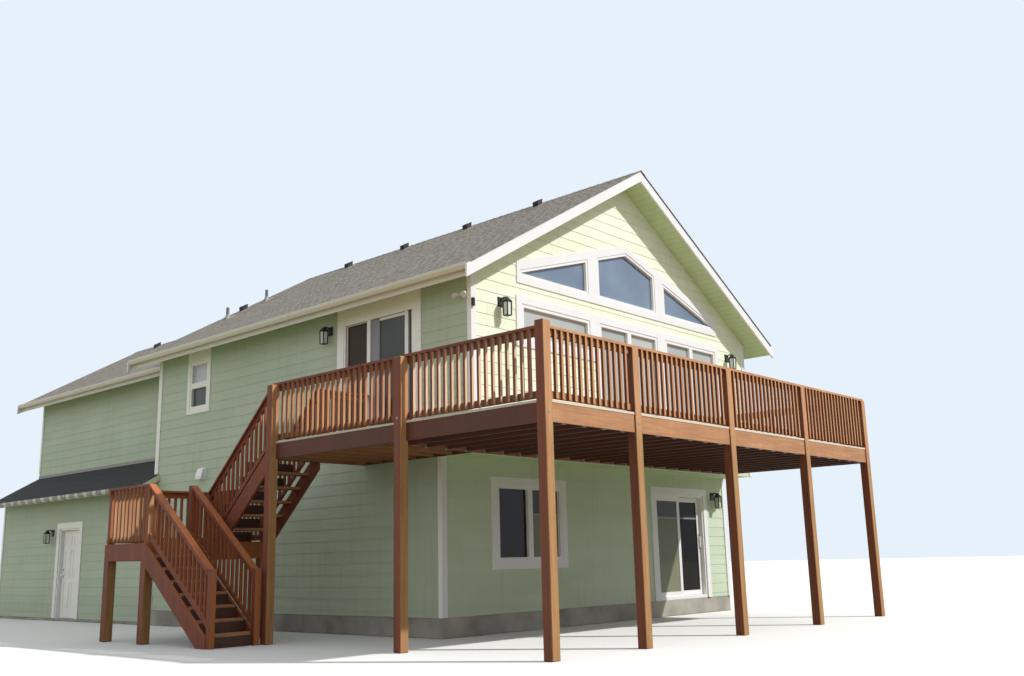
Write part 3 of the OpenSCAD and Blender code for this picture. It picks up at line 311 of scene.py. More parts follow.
finish = {
    "siding": sidingPaint(),
    "trim": whitePaint("white trim paint", paintLook.trim, sunny=paintLook.sunnyTrim),
    "gutter": whitePaint("cream gutter enamel", paintLook.gutter, 0.3, "#b8b3a2"),
    "oldGutter": oldGutterPaint(),
    "soffit": soffitPaint(),
    "room": whitePaint("room paint", "#d9d4c6", 0.7, "#c0baaa"),
    "edge": whitePaint("bare board edge", "#cbc1af", 0.7, "#a59176"),
    # balusters with paler faces where the sun falls: partly weathering, partly painted sunlight
    "silverZ": stainedWood("weathered balusters with painted sun", "Z", sun="silverAndPaintedSun"),
    "postZ": stainedWood("post wood", "Z", foot="post"),
    "rimX": stainedWood("rim wood along x", "X", 0.75),
    # painted shade: the rims' faces across x and the deck's underside are mixed most of the way to near-black
    # browns
    "rimY": stainedWood("rim wood along y", "Y", 0.4, 0.8, deep="rim"),
    "under": stainedWood("deck underside", "X", 0.2, 0.8),
    "roof": shingles("grey brown shingle", *roofLook["main"]),
    "pent": shingles("charcoal shingle", *roofLook["pent"]),
    "black": metal("black satin metal", "#1b1b1c", 0.42),
    "vent": metal("weathered vent metal", "#18191b", 0.6, 0.0, "#3c3c3c"),
    "flashing": metal("pale flashing", "#918f89", 0.5, 0.3, "#75726b"),
    "pipe": metal("grey vent pipe", "#686c71", 0.5, 0.2, "#57585a"),
    "steel": metal("galvanised steel", "#a6a7a4", 0.38, 0.85, "#77776f"),
    "screenFrame": metal("grey screen frame", "#8b8b90", 0.5, 0.2, "#6d6d70"),
    # glassSky has the sky's reflection painted into its colour
    "glassSky": paneGlass("glass with sky", "#62738a", "#7d8fa6"),
    "glassPale": paneGlass("glass with blind", "#a3aaaa", "#bfc4c3"),
    "glassBlind": paneGlass("glass with white blind", "#c6c9cf", "#d6d8dc"),
    "glassDark": paneGlass("dark glass", "#14110c", "#221d16", 0.95, 0.25),
    "glassBrown": paneGlass("glass with a brown room", "#453525", "#58462f", 0.97, 0.12),
    "glassGrey": paneGlass("grey glass", "#4a4d4d", "#5f6260", 0.95, 0.3),
    "glassOlive": paneGlass("grey-green glass", "#676a54", "#7f826a", 0.95, 0.2, 1.88, "#424443"),
    "glassDoor": paneGlass("glass of the sliding panel", "#0e0d0c", "#191816", 0.97, 0.08, 1.88, "#2a2c31"),
    "lamp": coat("frosted lamp glass", "#c3c8bf", "#dadfd6", (0.25, 0.25), ((1, 1, 1), 40.0, 3.0),
                 ((0.0, 0.0), (1.0, 1.0)), (0.0, 0.0)),
    "concrete": coat("footing concrete", "#87837a", "#b5b1a7", (0.75, 0.2), ((1, 1, 1), 26.0, 8.0, 0.7),
                     ((0.35, 0.0), (0.7, 1.0)), (0.004, 0.6), (1.3, 5.0)),
    "floor": coat("timber floor", "#9b7a50", "#c5a476", (0.45, 0.2), ((1, 14, 14), 1.2, 6.0),
                  ((0.35, 0.0), (0.7, 1.0)), (0.002, 0.4)),
}
for way in "XYZ":
    finish["wood" + way] = stainedWood("stained wood along " + way, way)
    finish["stair" + way] = stainedWood("stair wood along " + way, way, 0.8, 0.3, "stair", "stairDeep")
print("finishes made")


class Face:  # a wall that looks out at a distance: u runs along it, z up, off outwards
    def __init__(self, out, distance=0.0, rise=(0, 0, 1)):
        self.out, self.rise = Vector(out), Vector(rise)
        self.along, self.origin = self.rise.cross(self.out), self.out * distance

    def at(self, u, z, off=0.0):
        return self.origin + self.along * u + self.rise * z + self.out * off


class Stack:  # gathers faces for one joined mesh, with a tone for each piece
    def __init__(self):
        self.points, self.faces, self.tones, self.slots = [], [], [], []

    def solid(self, bottom, top, tone=0.5, slot=0, closed=True):  # two rings of matching corners
        start, n = len(self.points), len(bottom)
        self.points += [tuple(c) for c in bottom] + [tuple(c) for c in top]
        faces = [(start + i, start + (i + 1) % n, start + n + (i + 1) % n, start + n + i) for i in range(n)]
        faces.append(tuple(range(start + n, start + 2 * n)))
        if closed:
            faces.append(tuple(range(start + n - 1, start - 1, -1)))
        self.faces += faces
        self.tones += [tone] * len(faces)
        self.slots += [slot] * len(faces)

    def panel(self, face, outline, off0, off1, tone=0.5, slot=0):  # a plate on a wall face
        self.solid([face.at(u, z, off0) for u, z in outline], [face.at(u, z, off1) for u, z in outline],
                   tone, slot)

    def block(self, x0, x1, y0, y1, z0, z1, tone=0.5):
        self.panel(plan, rectangle(x0, x1, y0, y1), z0, z1, tone)

    def band(self, face, outer, inner, off0, off1):  # a flat frame between two outlines
        for i in range(len(outer)):
            j = (i + 1) % len(outer)
            self.panel(face, [outer[i], outer[j], inner[j], inner[i]], off0, off1)

    def ring(self, face, outline, width, off0, off1):  # a flat frame inside outline
        self.band(face, outline, inset(outline, width), off0, off1)

    def tube(self, path, radius, sides=10, slot=0):  # a round bar through points
        radii = radius if isinstance(radius, list) else [radius] * len(path)
        rings = []
        for i, spot in enumerate(path):
            ahead = (Vector(path[min(i + 1, len(path) - 1)]) - Vector(path[max(i - 1, 0)])).normalized()
            side = ahead.cross(Vector((0, 0, 1)) if abs(ahead.z) < 0.9 else Vector((1, 0, 0))).normalized()
            other = ahead.cross(side)
            rings.append([Vector(spot) + (side * math.cos(a) + other * math.sin(a)) * radii[i]
                          for a in (2 * math.pi * k / sides for k in range(sides))])
        for first, second in zip(rings, rings[1:]):
            self.solid(first, second, slot=slot)

    def make(self, name, *materials, body="house", bevel=0.0, stands=(), slot):
        mesh = bpy.data.meshes.new(name)
        mesh.from_pydata(self.points, [], self.faces)
        for material in materials:
            mesh.materials.append(finish[material])
        mesh.polygons.foreach_set("material_index", self.slots)
        mesh.attributes.new("tone", "FLOAT", "FACE").data.foreach_set("value", self.tones)
        mesh.update()
        piece = bpy.data.objects.new(name, mesh)
        bpy.context.collection.objects.link(piece)
        if bevel:
            soften(piece, bevel)
        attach(piece, body)
        if stands:
            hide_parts(*stands)


def soften(piece, width):
    edge = piece.modifiers.new("soften", "BEVEL")
    edge.width, edge.segments, edge.limit_method = width, 1, "ANGLE"
    edge.angle_limit = math.radians(40)


def clip(outline, a, b):  # the part of a convex outline left of the line from a to b
    kept = []
    side = lambda p: (b[0] - a[0]) * (p[1] - a[1]) - (b[1] - a[1]) * (p[0] - a[0])
    for p, q in zip(outline, outline[1:] + outline[:1]):
        sp, sq = side(p), side(q)
        if sp >= 0:
            kept.append(p)
        if min(sp, sq) < -1e-12 and max(sp, sq) > 1e-12:
            t = sp / (sp - sq)
            kept.append((p[0] + (q[0] - p[0]) * t, p[1] + (q[1] - p[1]) * t))
    return kept


def sliver(outline):
    doubled = sum(p[0] * q[1] - q[0] * p[1] for p, q in zip(outline, outline[1:] + outline[:1]))
    return len(outline) < 3 or doubled < 2e-5


def without(outline, hole):  # convex pieces of a convex outline outside a convex hole
    pieces, rest = [], outline
    for a, b in zip(hole, hole[1:] + hole[:1]):
        if len(rest) < 3:
            break
        pieces.append(clip(rest, b, a))
        rest = clip(rest, a, b)
    return [p for p in pieces if not sliver(p)]


def inset(outline, width):  # a convex outline's edges moved inwards
    lines = []
    for p, q in zip(outline, outline[1:] + outline[:1]):
        length = math.hypot(q[0] - p[0], q[1] - p[1])
        nx, nz = -(q[1] - p[1]) / length, (q[0] - p[0]) / length
        lines.append((nx, nz, nx * (p[0] + nx * width) + nz * (p[1] + nz * width)))
    found = []
    for (a, b, c), (d, e, g) in zip(lines[-1:] + lines[:-1], lines):
        cross = a * e - b * d
        found.append(((c * e - b * g) / cross, (a * g - c * d) / cross))
    return found


def rectangle(u0, u1, z0, z1):
    return [(u0, z0), (u1, z0), (u1, z1), (u0, z1)]


def hole(window, grow=0.0, top=None):  # a window is its middle, width, sill and head
    mid, wide, sill, head = window[:4]
    return rectangle(mid - wide / 2 - grow, mid + wide / 2 + grow, sill - grow, top or head + grow)


# The house's sizes, from the frame and from the openings' real sizes
gableLow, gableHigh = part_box("front_gable_wall")
groundLow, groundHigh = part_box("front_wall_left")
rearLow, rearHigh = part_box("rear_end_wall")
rearUpLow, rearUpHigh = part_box("rear_upper_side_walls")
roofLow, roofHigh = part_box("main_roof")
rearRoofLow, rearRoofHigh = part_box("rear_roof")
skirtLow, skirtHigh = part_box("skirt_roofs")
roofRise = math.tan(math.radians(30.5))
house = Sizes(side=gableHigh.x, gableY=gableLow.y, backY=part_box("main_back_wall")[1].y, groundY=groundLow.y,
              slabZ=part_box("main_slab")[1].z, groundTop=groundHigh.z, upperZ=gableLow.z,
              ridgeUnder=gableHigh.z, wall=gableHigh.y - gableLow.y, rearEnd=rearHigh.y, rearLeft=rearLow.x,
              rearRight=rearHigh.x, rearUpLeft=rearUpLow.x, rearUpRight=rearUpHigh.x,
              rearSlabZ=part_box("rear_slab")[1].z, rearRidgeUnder=rearHigh.z)
plateZ = house.ridgeUnder - house.side * roofRise
rearMid = (house.rearUpLeft + house.rearUpRight) / 2

sizes = Sizes(windowW=1.86, pitch=2.11, doorH=2.24, transomH=0.63, rakedZ=2.74, rakedPeak=3.68, frame=0.06,
              bar=0.09, casing=0.115, sideDoorY=2.2, sideDoorW=1.84, sideDoorBar=0.255, sideWindowY=7.8,
              smallW=0.7, smallH=1.01, doorCasing=0.16, groundX=-2.14, groundW=1.68, groundH=1.26,
              groundHead=2.06, patioX=2.44, patioW=1.8, entryY=3.78, entryW=1.06, entryH=2.06)
doorHead = house.upperZ + sizes.doorH
smallHead = doorHead + sizes.frame / 2
groundHead = house.slabZ + sizes.groundHead
entryHead = house.rearSlabZ + sizes.entryH
sideDoorY = house.gableY + sizes.sideDoorY
sideWindowY = house.gableY + sizes.sideWindowY
entryY = house.backY + sizes.entryY

plan = Face((0, 0, 1), rise=(0, 1, 0))  # seen from above: u is x, z is y, off is the height
gableFace = Face((0, -1, 0), -house.gableY)
groundFace = Face((0, -1, 0), -house.groundY)
leftFace = Face((-1, 0, 0), house.side)
rightFace = Face((1, 0, 0), house.side)
backFace = Face((0, 1, 0), house.backY)
rearRightFace = Face((1, 0, 0), house.rearRight)
rearUpLeftFace = Face((-1, 0, 0), -house.rearUpLeft)
rearUpRightFace = Face((1, 0, 0), house.rearUpRight)
rearEndFace = Face((0, 1, 0), house.rearEnd)


def smallWindow(mid, head):
    return (mid, sizes.smallW, head - sizes.smallH, head, 1, 2, 0)


# Windows and fixed doors: middle, width, sill, head, panes across, panes up, shift of the bar
gableRow = [(-sizes.pitch, sizes.windowW, doorHead - sizes.transomH, doorHead, 1, 1, 0)]
gableRow += [(x, sizes.windowW, house.upperZ, doorHead, 2, 1, 0) for x in (0.0, sizes.pitch)]
sideDoor = (-sideDoorY, sizes.sideDoorW, house.upperZ, doorHead, 2, 1, -sizes.sideDoorBar)
sideWindow = smallWindow(-sideWindowY, smallHead)
rightRow = [smallWindow(y, smallHead) for y in (sideDoorY, sideWindowY)]
rightLowRow = [smallWindow(y, groundHead) for y in (sideDoorY, sideWindowY)]
rearRightWindow = smallWindow(entryY, entryHead)
endRow = [smallWindow(-rearMid, head) for head in (smallHead, entryHead)]
groundWindow = (sizes.groundX, sizes.groundW, groundHead - sizes.groundH, groundHead, 2, 1, 0)
patioDoor = (sizes.patioX, sizes.patioW, house.slabZ, groundHead)
entryDoor = (-entryY, sizes.entryW, house.rearSlabZ, entryHead)

# Raked windows of the gable
rakedBase = house.upperZ + sizes.rakedZ
rakedTop = house.upperZ + sizes.rakedPeak
rakedTip = sizes.pitch + sizes.windowW / 2 - sizes.frame / 2
rakedSlope = (rakedTop - rakedBase - sizes.frame / 3) / rakedTip


def rakedLine(x, grow):
    return rakedTop - rakedSlope * abs(x) + grow * math.sqrt(1 + rakedSlope ** 2)


def rakedOutlines(grow):  # left, middle and right window, counter-clockwise
    low, half = rakedBase - grow, sizes.windowW / 2 - sizes.frame
    x, x0, x1 = half + grow, sizes.pitch - half - grow, rakedTip + grow
    middle = [(-x, low), (x, low), (x, rakedLine(x, grow)), (0, rakedLine(0, grow)), (-x, rakedLine(x, grow))]
    right = [(x0, low), (x1, low), (x1, rakedLine(x1, grow)), (x0, rakedLine(x0, grow))]
    return [[(-u, z) for u, z in reversed(right)], middle, right]


def rakedCasing(grow):  # the outline of the casing round all three
    wide, edge = rakedTip + grow, rakedLine(rakedTip, grow + sizes.frame)
    low = rakedBase - sizes.frame - grow
    return [(-wide, low), (wide, low), (wide, edge), (0, rakedLine(0, grow + sizes.frame)), (-wide, edge)]


siding = Sizes(exposure=0.19, butt=0.009, top=0.002, length=3.66, joint=0.002, grow=0.06, shortest=0.3,
               meet=2.6, under=0.13, lap=0.02)


def lapSiding(name, walls):
    dice = random.Random(name)
    stack = Stack()
    step = siding.exposure
    for face, outline, holes in walls:
        heights = [z for u, z in outline]
        for k in range(math.floor(min(heights) / step), math.ceil(max(heights) / step)):
            z0, z1 = k * step, (k + 1) * step
            strip = clip(clip(outline, (0, z0), (1, z0)), (1, z1), (0, z1))
            if sliver(strip):
                continue
            pieces = [strip]
            for gap in holes:
                pieces = [q for p in pieces for q in without(p, gap)]
            shift = dice.uniform(0, siding.length)
            cuts = [c * siding.length + shift for c in range(-6, 6)]
            for p in pieces:
                left, right = min(u for u, z in p), max(u for u, z in p)
                inner = [c for c in cuts if left + siding.shortest < c < right - siding.shortest]
                edges = [left] + inner + [right]
                for a, b in zip(edges, edges[1:]):
                    a += siding.joint / 2 if a > left else 0
                    b -= siding.joint / 2 if b < right else 0
                    board = clip(clip(p, (a, 1), (a, 0)), (b, 0), (b, 1))
                    if sliver(board):
                        continue
                    offs = [siding.butt + (siding.top - siding.butt) * (z - z0) / step for u, z in board]
                    stack.solid([face.at(u, z) for u, z in board],
                                [face.at(u, z, o) for (u, z), o in zip(board, offs)], dice.random())
    stack.make(name, "siding", slot="wall_paint")


def gableOutline(half, mid, base, plate, ridge):
    return [(mid - half, base), (mid + half, base), (mid + half, plate), (mid, ridge), (mid - half, plate)]


def makeSiding():
    h, grow, low, top = house, siding.grow, house.slabZ, house.groundTop
    holes = lambda *windows: [hole(w, grow) for w in windows]
    overDoors = rectangle(-sizes.windowW / 2, rakedTip, h.upperZ, doorHead + grow)
    rearHalf, under = h.rearUpRight - rearMid, skirtHigh.z - siding.under
    lapSiding("siding_main", [
        (gableFace, gableOutline(h.side, 0, top, plateZ, h.ridgeUnder),
         holes(*gableRow) + [rakedCasing(grow), overDoors]),
        (leftFace, rectangle(-h.backY, -h.gableY, top, plateZ),
         [hole(sideDoor, sizes.doorCasing - siding.lap, plateZ), hole(sideWindow, grow, plateZ)]),
        (leftFace, rectangle(-h.backY, -h.groundY, low, top), []),
        (rightFace, rectangle(h.gableY, h.backY, top, plateZ), holes(*rightRow)),
        (rightFace, rectangle(h.groundY, h.backY, low, top), holes(*rightLowRow)),
        (groundFace, rectangle(-h.side, h.side, low, top), holes(groundWindow, patioDoor)),
        (backFace, gableOutline(h.side, 0, low, plateZ, h.ridgeUnder),
         [rectangle(-h.rearRight, -h.rearLeft, 0, low + siding.meet),
          gableOutline(rearHalf, -rearMid, 0, plateZ, h.rearRidgeUnder)]),
    ])
    edge, base = under - (h.rearUpLeft - h.rearLeft) * roofRise, h.rearSlabZ
    lapSiding("siding_rear", [
        (leftFace, rectangle(-h.rearEnd, -h.backY, base, edge), holes(entryDoor)),
        (rearRightFace, rectangle(h.backY, h.rearEnd, base, edge), holes(rearRightWindow)),
        (rearUpLeftFace, rectangle(-h.rearEnd, -h.backY, skirtHigh.z, plateZ), []),
        (rearUpRightFace, rectangle(h.backY, h.rearEnd, skirtHigh.z, plateZ), []),
        (rearEndFace, rectangle(-h.rearRight, -h.rearLeft, base, edge), holes(*endRow)),
        (rearEndFace, [(-h.rearRight, edge), (-h.rearLeft, edge), (-h.rearUpLeft, under),
                       (-h.rearUpRight, under)], holes(*endRow)),
        (rearEndFace, gableOutline(rearHalf, -rearMid, under, plateZ, h.rearRidgeUnder), holes(*endRow)),
    ])


makeSiding()
print("siding laid")


shingle = Sizes(exposure=0.143, thin=0.003, thick=0.0055, top=0.002, teeth=(0.06, 0.15), notch=(0.045, 0.11),
                shortest=0.04, palest=(0.5, 1.0), darkest=(0.0, 0.45), over=0.02, rake=0.035, capStep=0.2,
                capHalf=0.14, capLift=(0.016, 0.016, 0.006, 0.006))


def shingleSlope(stack, dice, eaveX, ridgeX, ridgeZ, y0, y1):  # one slope, from eave to ridge
    run = ridgeX - eaveX
    length = abs(run) * math.sqrt(1 + roofRise ** 2)
    up = Vector((run, 0, abs(run) * roofRise)) / length
    out = Vector((-math.copysign(roofRise, run), 0, 1)).normalized()
    start = Vector((eaveX, 0, ridgeZ - abs(run) * roofRise))
    for k in range(math.ceil(length / shingle.exposure)):
        a, b = k * shingle.exposure, min(length, (k + 1) * shingle.exposure)
        y = y0
        tooth = dice.random() < 0.5
        while y < y1:  # raised teeth and darker notches in turn
            end = min(y + dice.uniform(*(shingle.teeth if tooth else shingle.notch)), y1)
            if y1 - end < shingle.shortest:
                end = y1
            thick = shingle.thick if tooth else shingle.thin
            ring = [(a, y, thick), (a, end, thick), (b, end, shingle.top), (b, y, shingle.top)]
            corners = [start + up * s + Vector((0, yy, 0)) for s, yy, lift in ring]
            tops = [c + out * lift for c, (s, yy, lift) in zip(corners, ring)]
            way = -1 if run > 0 else 1
            stack.solid(corners[::way], tops[::way],
                        dice.uniform(*(shingle.palest if tooth else shingle.darkest)), closed=False)
            y, tooth = end, not tooth


def ridgeCap(stack, dice, x, z, y0, y1):
    y = y0
    while y < y1:
        end = min(y + shingle.capStep, y1)
        tone = dice.random()
        for s in (-1, 1):
            low = [(x + s * shingle.capHalf, y), (x, y), (x, end), (x + s * shingle.capHalf, end)]
            first = [Vector((px, py, z - abs(px - x) * roofRise)) for px, py in low]
            second = [p + Vector((0, 0, t)) for p, t in zip(first, shingle.capLift)]
            stack.solid(first[::-s], second[::-s], tone, closed=False)
        y = end


def makeShingles():
    for name, low, high in (("main", roofLow, roofHigh), ("rear", rearRoofLow, rearRoofHigh)):
        stack, dice = Stack(), random.Random("shingles_" + name)
        mid, over, rake = (low.x + high.x) / 2, shingle.over, shingle.over + shingle.rake
        y0, y1 = low.y - (rake if name == "main" else 0), high.y + rake
        for eave in (low.x - over, high.x + over):
            shingleSlope(stack, dice, eave, mid, high.z, y0, y1)
        ridgeCap(stack, dice, mid, high.z, y0, y1)
        stack.make("shingles_" + name, "roof", slot="shingle")
    stack, dice = Stack(), random.Random("skirt")
    for eave, top in ((skirtLow.x - over, house.rearUpLeft), (skirtHigh.x + over, house.rearUpRight)):
        shingleSlope(stack, dice, eave, top, skirtHigh.z, house.backY, house.rearEnd)
    stack.make("shingles_skirt", "pent", slot="dark_shingle")


makeShingles()
print("roofs covered")


sash = Sizes(width=0.014, base=-0.045, front=0.014, play=0.002, screenFront=-0.02, stileFront=-0.008,
             screen=0.22, jamb=0.05, gap=0.073, stile=0.08, foot=0.07, head=0.05)


def panes(window):  # the outlines of a window's panes on its wall
    mid, wide, sill, head, across, up, shift = window
    frame, bar = sizes.frame, sizes.bar
    paneW = (wide - 2 * frame - (across - 1) * bar) / across
    paneH = (head - sill - 2 * frame - (up - 1) * bar) / up
    for i in range(across):
        for j in range(up):
            u, z = mid - wide / 2 + frame + i * (paneW + bar + shift), sill + frame + j * (paneH + bar)
            yield rectangle(u, u + paneW + (1 - 2 * i) * shift, z, z + paneH)


def makeSashes():  # flat frames round the panes, inside the openings' casings
    stack = Stack()
    wide, base, front, play = sash.width, sash.base, sash.front, sash.play
    walls = [(gableFace, gableRow), (leftFace, [sideWindow]), (rightFace, rightRow + rightLowRow),
             (rearRightFace, [rearRightWindow]), (rearEndFace, endRow), (groundFace, [groundWindow])]
    for face, windows in walls:
        for window in windows:
            stack.ring(face, hole(window, -play), sizes.frame + wide - play, base, front)
            outlines = list(panes(window))
            for first, second in zip(outlines, outlines[1:]):
                (u0, z0), (u1, z1) = first[0], second[2]
                if window[4] > 1:
                    bar = rectangle(first[1][0] - wide, second[0][0] + wide, z0 + wide, z1 - wide)
                else:
                    bar = rectangle(u0 + wide, u1 - wide, first[2][1] - wide, second[0][1] + wide)
                stack.panel(face, bar, base, front)
    for outer, inner in zip(rakedOutlines(sizes.frame - play), rakedOutlines(-wide / 2)):
        stack.band(gableFace, outer, inner, base, front)
    stack.ring(leftFace, hole(sideDoor, -play), sizes.frame - play, base, front)
    rear, fore = panes(sideDoor)
    stack.ring(leftFace, rear, wide, base, sash.screenFront)
    u0, z0, u1, z1 = *fore[0], *fore[2]
    screenEnd, jambStart = u0 + sash.screen, u1 - sash.jamb
    stileEnd = jambStart - sash.gap
    stileStart = stileEnd - sash.stile
    stack.panel(leftFace, rectangle(u0, screenEnd, z0, z1), base, sash.screenFront, slot=1)
    stack.panel(leftFace, rectangle(stileStart, stileEnd, z0, z1), base, sash.stileFront)
    for ends in ((jambStart, u1, z0, z1), (screenEnd, stileStart, z0, z0 + sash.foot),
                 (screenEnd, stileStart, z1 - sash.head, z1)):
        stack.panel(leftFace, rectangle(*ends), base, sash.screenFront)
    stack.make("window_sashes", "trim", "screenFrame", bevel=0.002, slot="white_trim")


makeSashes()
print("sashes fitted")


deck = Sizes(width=0.14, gap=0.006, reach=(2.4, 4.8), shortest=0.6, post=0.14, play=0.003, edge=0.006,
             strip=0.033, cornerIn=0.12, bay=2.43, leftBay=2.45, postIn=0.04, below=0.0005)
boardLow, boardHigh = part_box("deck_boards")
frontPostsX = [boardHigh.x - deck.post - i * deck.bay for i in range(4)]
frontPostY = boardLow.y + deck.cornerIn - deck.post
leftPostX = boardLow.x - deck.post + deck.postIn
leftPostsY = [boardLow.y + deck.leftBay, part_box("side_deck_frame")[1].y - deck.post]


def makeDeckBoards():
    dice = random.Random("deck")
    stack, play, post = Stack(), deck.play, deck.post + deck.play
    posts = [rectangle(x - play, x + post, frontPostY, frontPostY + post) for x in frontPostsX]
    posts += [rectangle(leftPostX, leftPostX + post, y - play, y + post) for y in leftPostsY]
    corner = deck.cornerIn + play
    posts.append(rectangle(boardLow.x - 1, boardLow.x + corner, boardLow.y - 1, boardLow.y + corner))
    step = deck.width + deck.gap
    for k in range(math.ceil((boardHigh.y - boardLow.y) / step)):
        y0 = boardLow.y + k * step
        y1 = min(y0 + deck.width, boardHigh.y)
        right = boardHigh.x if y1 < house.gableY else -house.side
        x = boardLow.x
        while x < right - 0.01:
            end = min(right, x + dice.uniform(*deck.reach))
            if right - end < deck.shortest:
                end = right
            pieces = [rectangle(x, end - deck.gap / 2, y0, y1)]
            for hollow in posts:
                pieces = [q for p in pieces for q in without(p, hollow)]
            tone = dice.random()
            for p in pieces:
                stack.panel(plan, p, boardLow.z, boardHigh.z - deck.below, tone)
            x = end
    stack.make("deck_planks", "woodX", bevel=0.003, stands=["deck_boards"], slot="deck_wood")


def makeDeckEdges():  # the pale strip along the boards' ends, between the posts
    edges = Stack()
    z0, z1 = boardHigh.z - deck.strip, boardHigh.z - deck.play
    rows = [[start + deck.cornerIn] + [e for x in posts for e in (x, x + deck.post)]
            for start, posts in ((boardLow.x, frontPostsX[::-1]), (boardLow.y, leftPostsY))]
    for a, b in zip(rows[0][0::2], rows[0][1::2]):
        edges.block(a, b, boardLow.y - deck.edge, boardLow.y, z0, z1)
    for a, b in zip(rows[1][0::2], rows[1][1::2]):
        edges.block(boardLow.x - deck.edge, boardLow.x, a, b, z0, z1)
    edges.make("deck_edges", "edge", slot="deck_wood")


makeDeckBoards()
makeDeckEdges()
print("deck boarded")


hardware = Sizes(joistT=0.04, joistPitch=0.406, plate=0.0025, seat=0.05, tall=0.16, bolt=0.009, washer=0.017,
                 rimUp=0.12, leftUp=0.03)


def bolt(stack, spot, out):
    spot, out = Vector(spot), Vector(out)
    stack.tube([spot - out * 0.002, spot + out * 0.003], hardware.washer, 12)
    stack.tube([spot + out * 0.003, spot + out * 0.011], hardware.bolt, 6)


def makeHardware():  # joist hangers at the ledger and rim, bolts through the posts
    stack = Stack()
    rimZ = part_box("front_deck_frame")[0].z
    t, j = hardware.plate, hardware.joistT
    for k in range(1, int((boardHigh.x - boardLow.x - 2 * j) / hardware.joistPitch) + 1):
        x = boardLow.x + k * hardware.joistPitch
        for y, way in ((house.gableY - j, -1), (boardLow.y + j, 1)):
            ends = sorted((y, y + way * hardware.seat))
            stack.block(x - t, x + j + t, *ends, rimZ - t, rimZ)
            for side in (x - t, x + j):
                stack.block(side, side + t, *ends, rimZ, rimZ + hardware.tall)
    middle = deck.post / 2
    for x in frontPostsX + [boardLow.x + deck.cornerIn - deck.post]:
        bolt(stack, (x + middle, frontPostY, rimZ + hardware.rimUp), (0, -1, 0))
    bolt(stack, (leftPostX, leftPostsY[0] + middle, boardHigh.z + hardware.leftUp), (-1, 0, 0))
    stack.make("deck_hardware", "steel", slot="dark_metal")


makeHardware()
print("hardware fixed")


steps = Sizes(upper=7, upperRise=0.21, upperGoing=0.23, lower=8, lowerGoing=0.255, tread=0.04, board=0.018,
              carriage=0.04, inset=0.001)


def makeRisers():  # upright boards that close the steps of both flights
    stack, dice, s = Stack(), random.Random("risers"), steps
    low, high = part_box("stair_treads")
    landing = boardHigh.z - s.upper * s.upperRise
    flights = ((boardLow.x + s.carriage, high.x, high.y - (s.upper - 1) * s.upperGoing, 1, boardHigh.z,
                s.upper, s.upperRise, s.upperGoing),
               (low.x, boardLow.x - deck.post - s.carriage, low.y + (s.lower - 1) * s.lowerGoing, -1, landing,
                s.lower, landing / s.lower, s.lowerGoing))
    for x0, x1, y, way, start, count, rise, going in flights:
        for k in range(1, count):
            front, top = y + way * k * going, start - k * rise
            ends = sorted((front - way * s.board, front - way * s.inset))
            stack.block(x0 + s.inset, x1 - s.inset, *ends, top - rise, top - s.tread, dice.random())
    # the risers take the deck underside's finish, painted shade
    stack.make("stair_risers", "under", slot="deck_wood")


makeRisers()
print("risers fitted")


lantern = Sizes(plate=0.08, plateZ=(0.17, 0.33), rim=0.014, thick=(0.012, 0.02), reach=0.145, low=0.045,
                high=0.05, cage=0.238, hoop=0.012, cap=0.064, lip=0.006, capTop=0.02, capZ=0.305, height=0.33,
                bar=0.0085, arm=0.014, armZ=0.27, armRise=0.045, armOff=0.018, doorGap=0.36, sideGap=0.225,
                lowGap=0.26, patioUp=0.06, entryDown=0.02)
fourCorners = ((-1, -1), (-1, 1), (1, 1), (1, -1))


def wallLantern(stack, face, u, z):
    n, reach = lantern, lantern.reach

    def square(height, half, across=0.0, outwards=0.0):  # level, counter-clockwise from above
        return [face.at(u + across + a * half, z + height, reach + outwards + b * half)
                for a, b in fourCorners]

    def taper(low, lowHalf, high, highHalf, slot=0):
        stack.solid(square(low, lowHalf), square(high, highHalf), slot=slot)

    plate = rectangle(u - n.plate, u + n.plate, z + n.plateZ[0], z + n.plateZ[1])
    stack.panel(face, plate, 0.0, n.thick[0])
    stack.panel(face, inset(plate, n.rim), *n.thick)
    turn = [math.pi * k / 8 for k in range(9)]
    offs = [n.armOff + (reach - n.armOff) * (1 - math.cos(a)) / 2 for a in turn]
    arm = [face.at(u, z + n.armZ + n.armRise * math.sin(a), off) for a, off in zip(turn, offs)]
    stack.tube(arm, n.arm, 8)
    taper(0.0, n.low + n.lip, n.hoop, n.low + n.lip)
    taper(n.cage - n.hoop, n.high + n.lip, n.cage, n.high + n.lip)
    taper(0.013, n.low - 0.004, n.cage - 0.014, n.high - 0.004, 1)
    for a, b in fourCorners:
        stack.solid(square(0.01, n.bar, a * n.low, b * n.low),
                    square(n.cage - 0.01, n.bar, a * n.high, b * n.high))
    taper(n.cage, n.cap, n.cage + n.lip, n.cap)
    taper(n.cage + n.lip, n.cap - n.lip, n.capZ, n.capTop)
    knob = ((0.303, 0.006), (0.313, 0.006), (0.321, 0.011), (n.height, 0.004))
    stack.tube([face.at(u, z + up, reach) for up, radius in knob], [radius for up, radius in knob], 10)


def makeLanterns():
    stack, n, s = Stack(), lantern, sizes
    side = s.pitch + s.windowW / 2 + s.casing + n.doorGap
    for face, u, top in ((gableFace, -side, doorHead), (gableFace, side, doorHead),
                         (leftFace, -(sideDoorY + s.sideDoorW / 2 + s.doorCasing + n.sideGap), doorHead),
                         (groundFace, s.patioX + s.patioW / 2 + s.casing + n.lowGap, groundHead + n.patioUp),
                         (leftFace, -(entryY + s.entryW / 2 + s.casing + n.lowGap), entryHead - n.entryDown)):
        wallLantern(stack, face, u, top - n.height)
    stack.make("lanterns", "black", "lamp", bevel=0.0015, stands=["wall_lanterns"], slot="dark_metal")


makeLanterns()
print("lanterns hung")


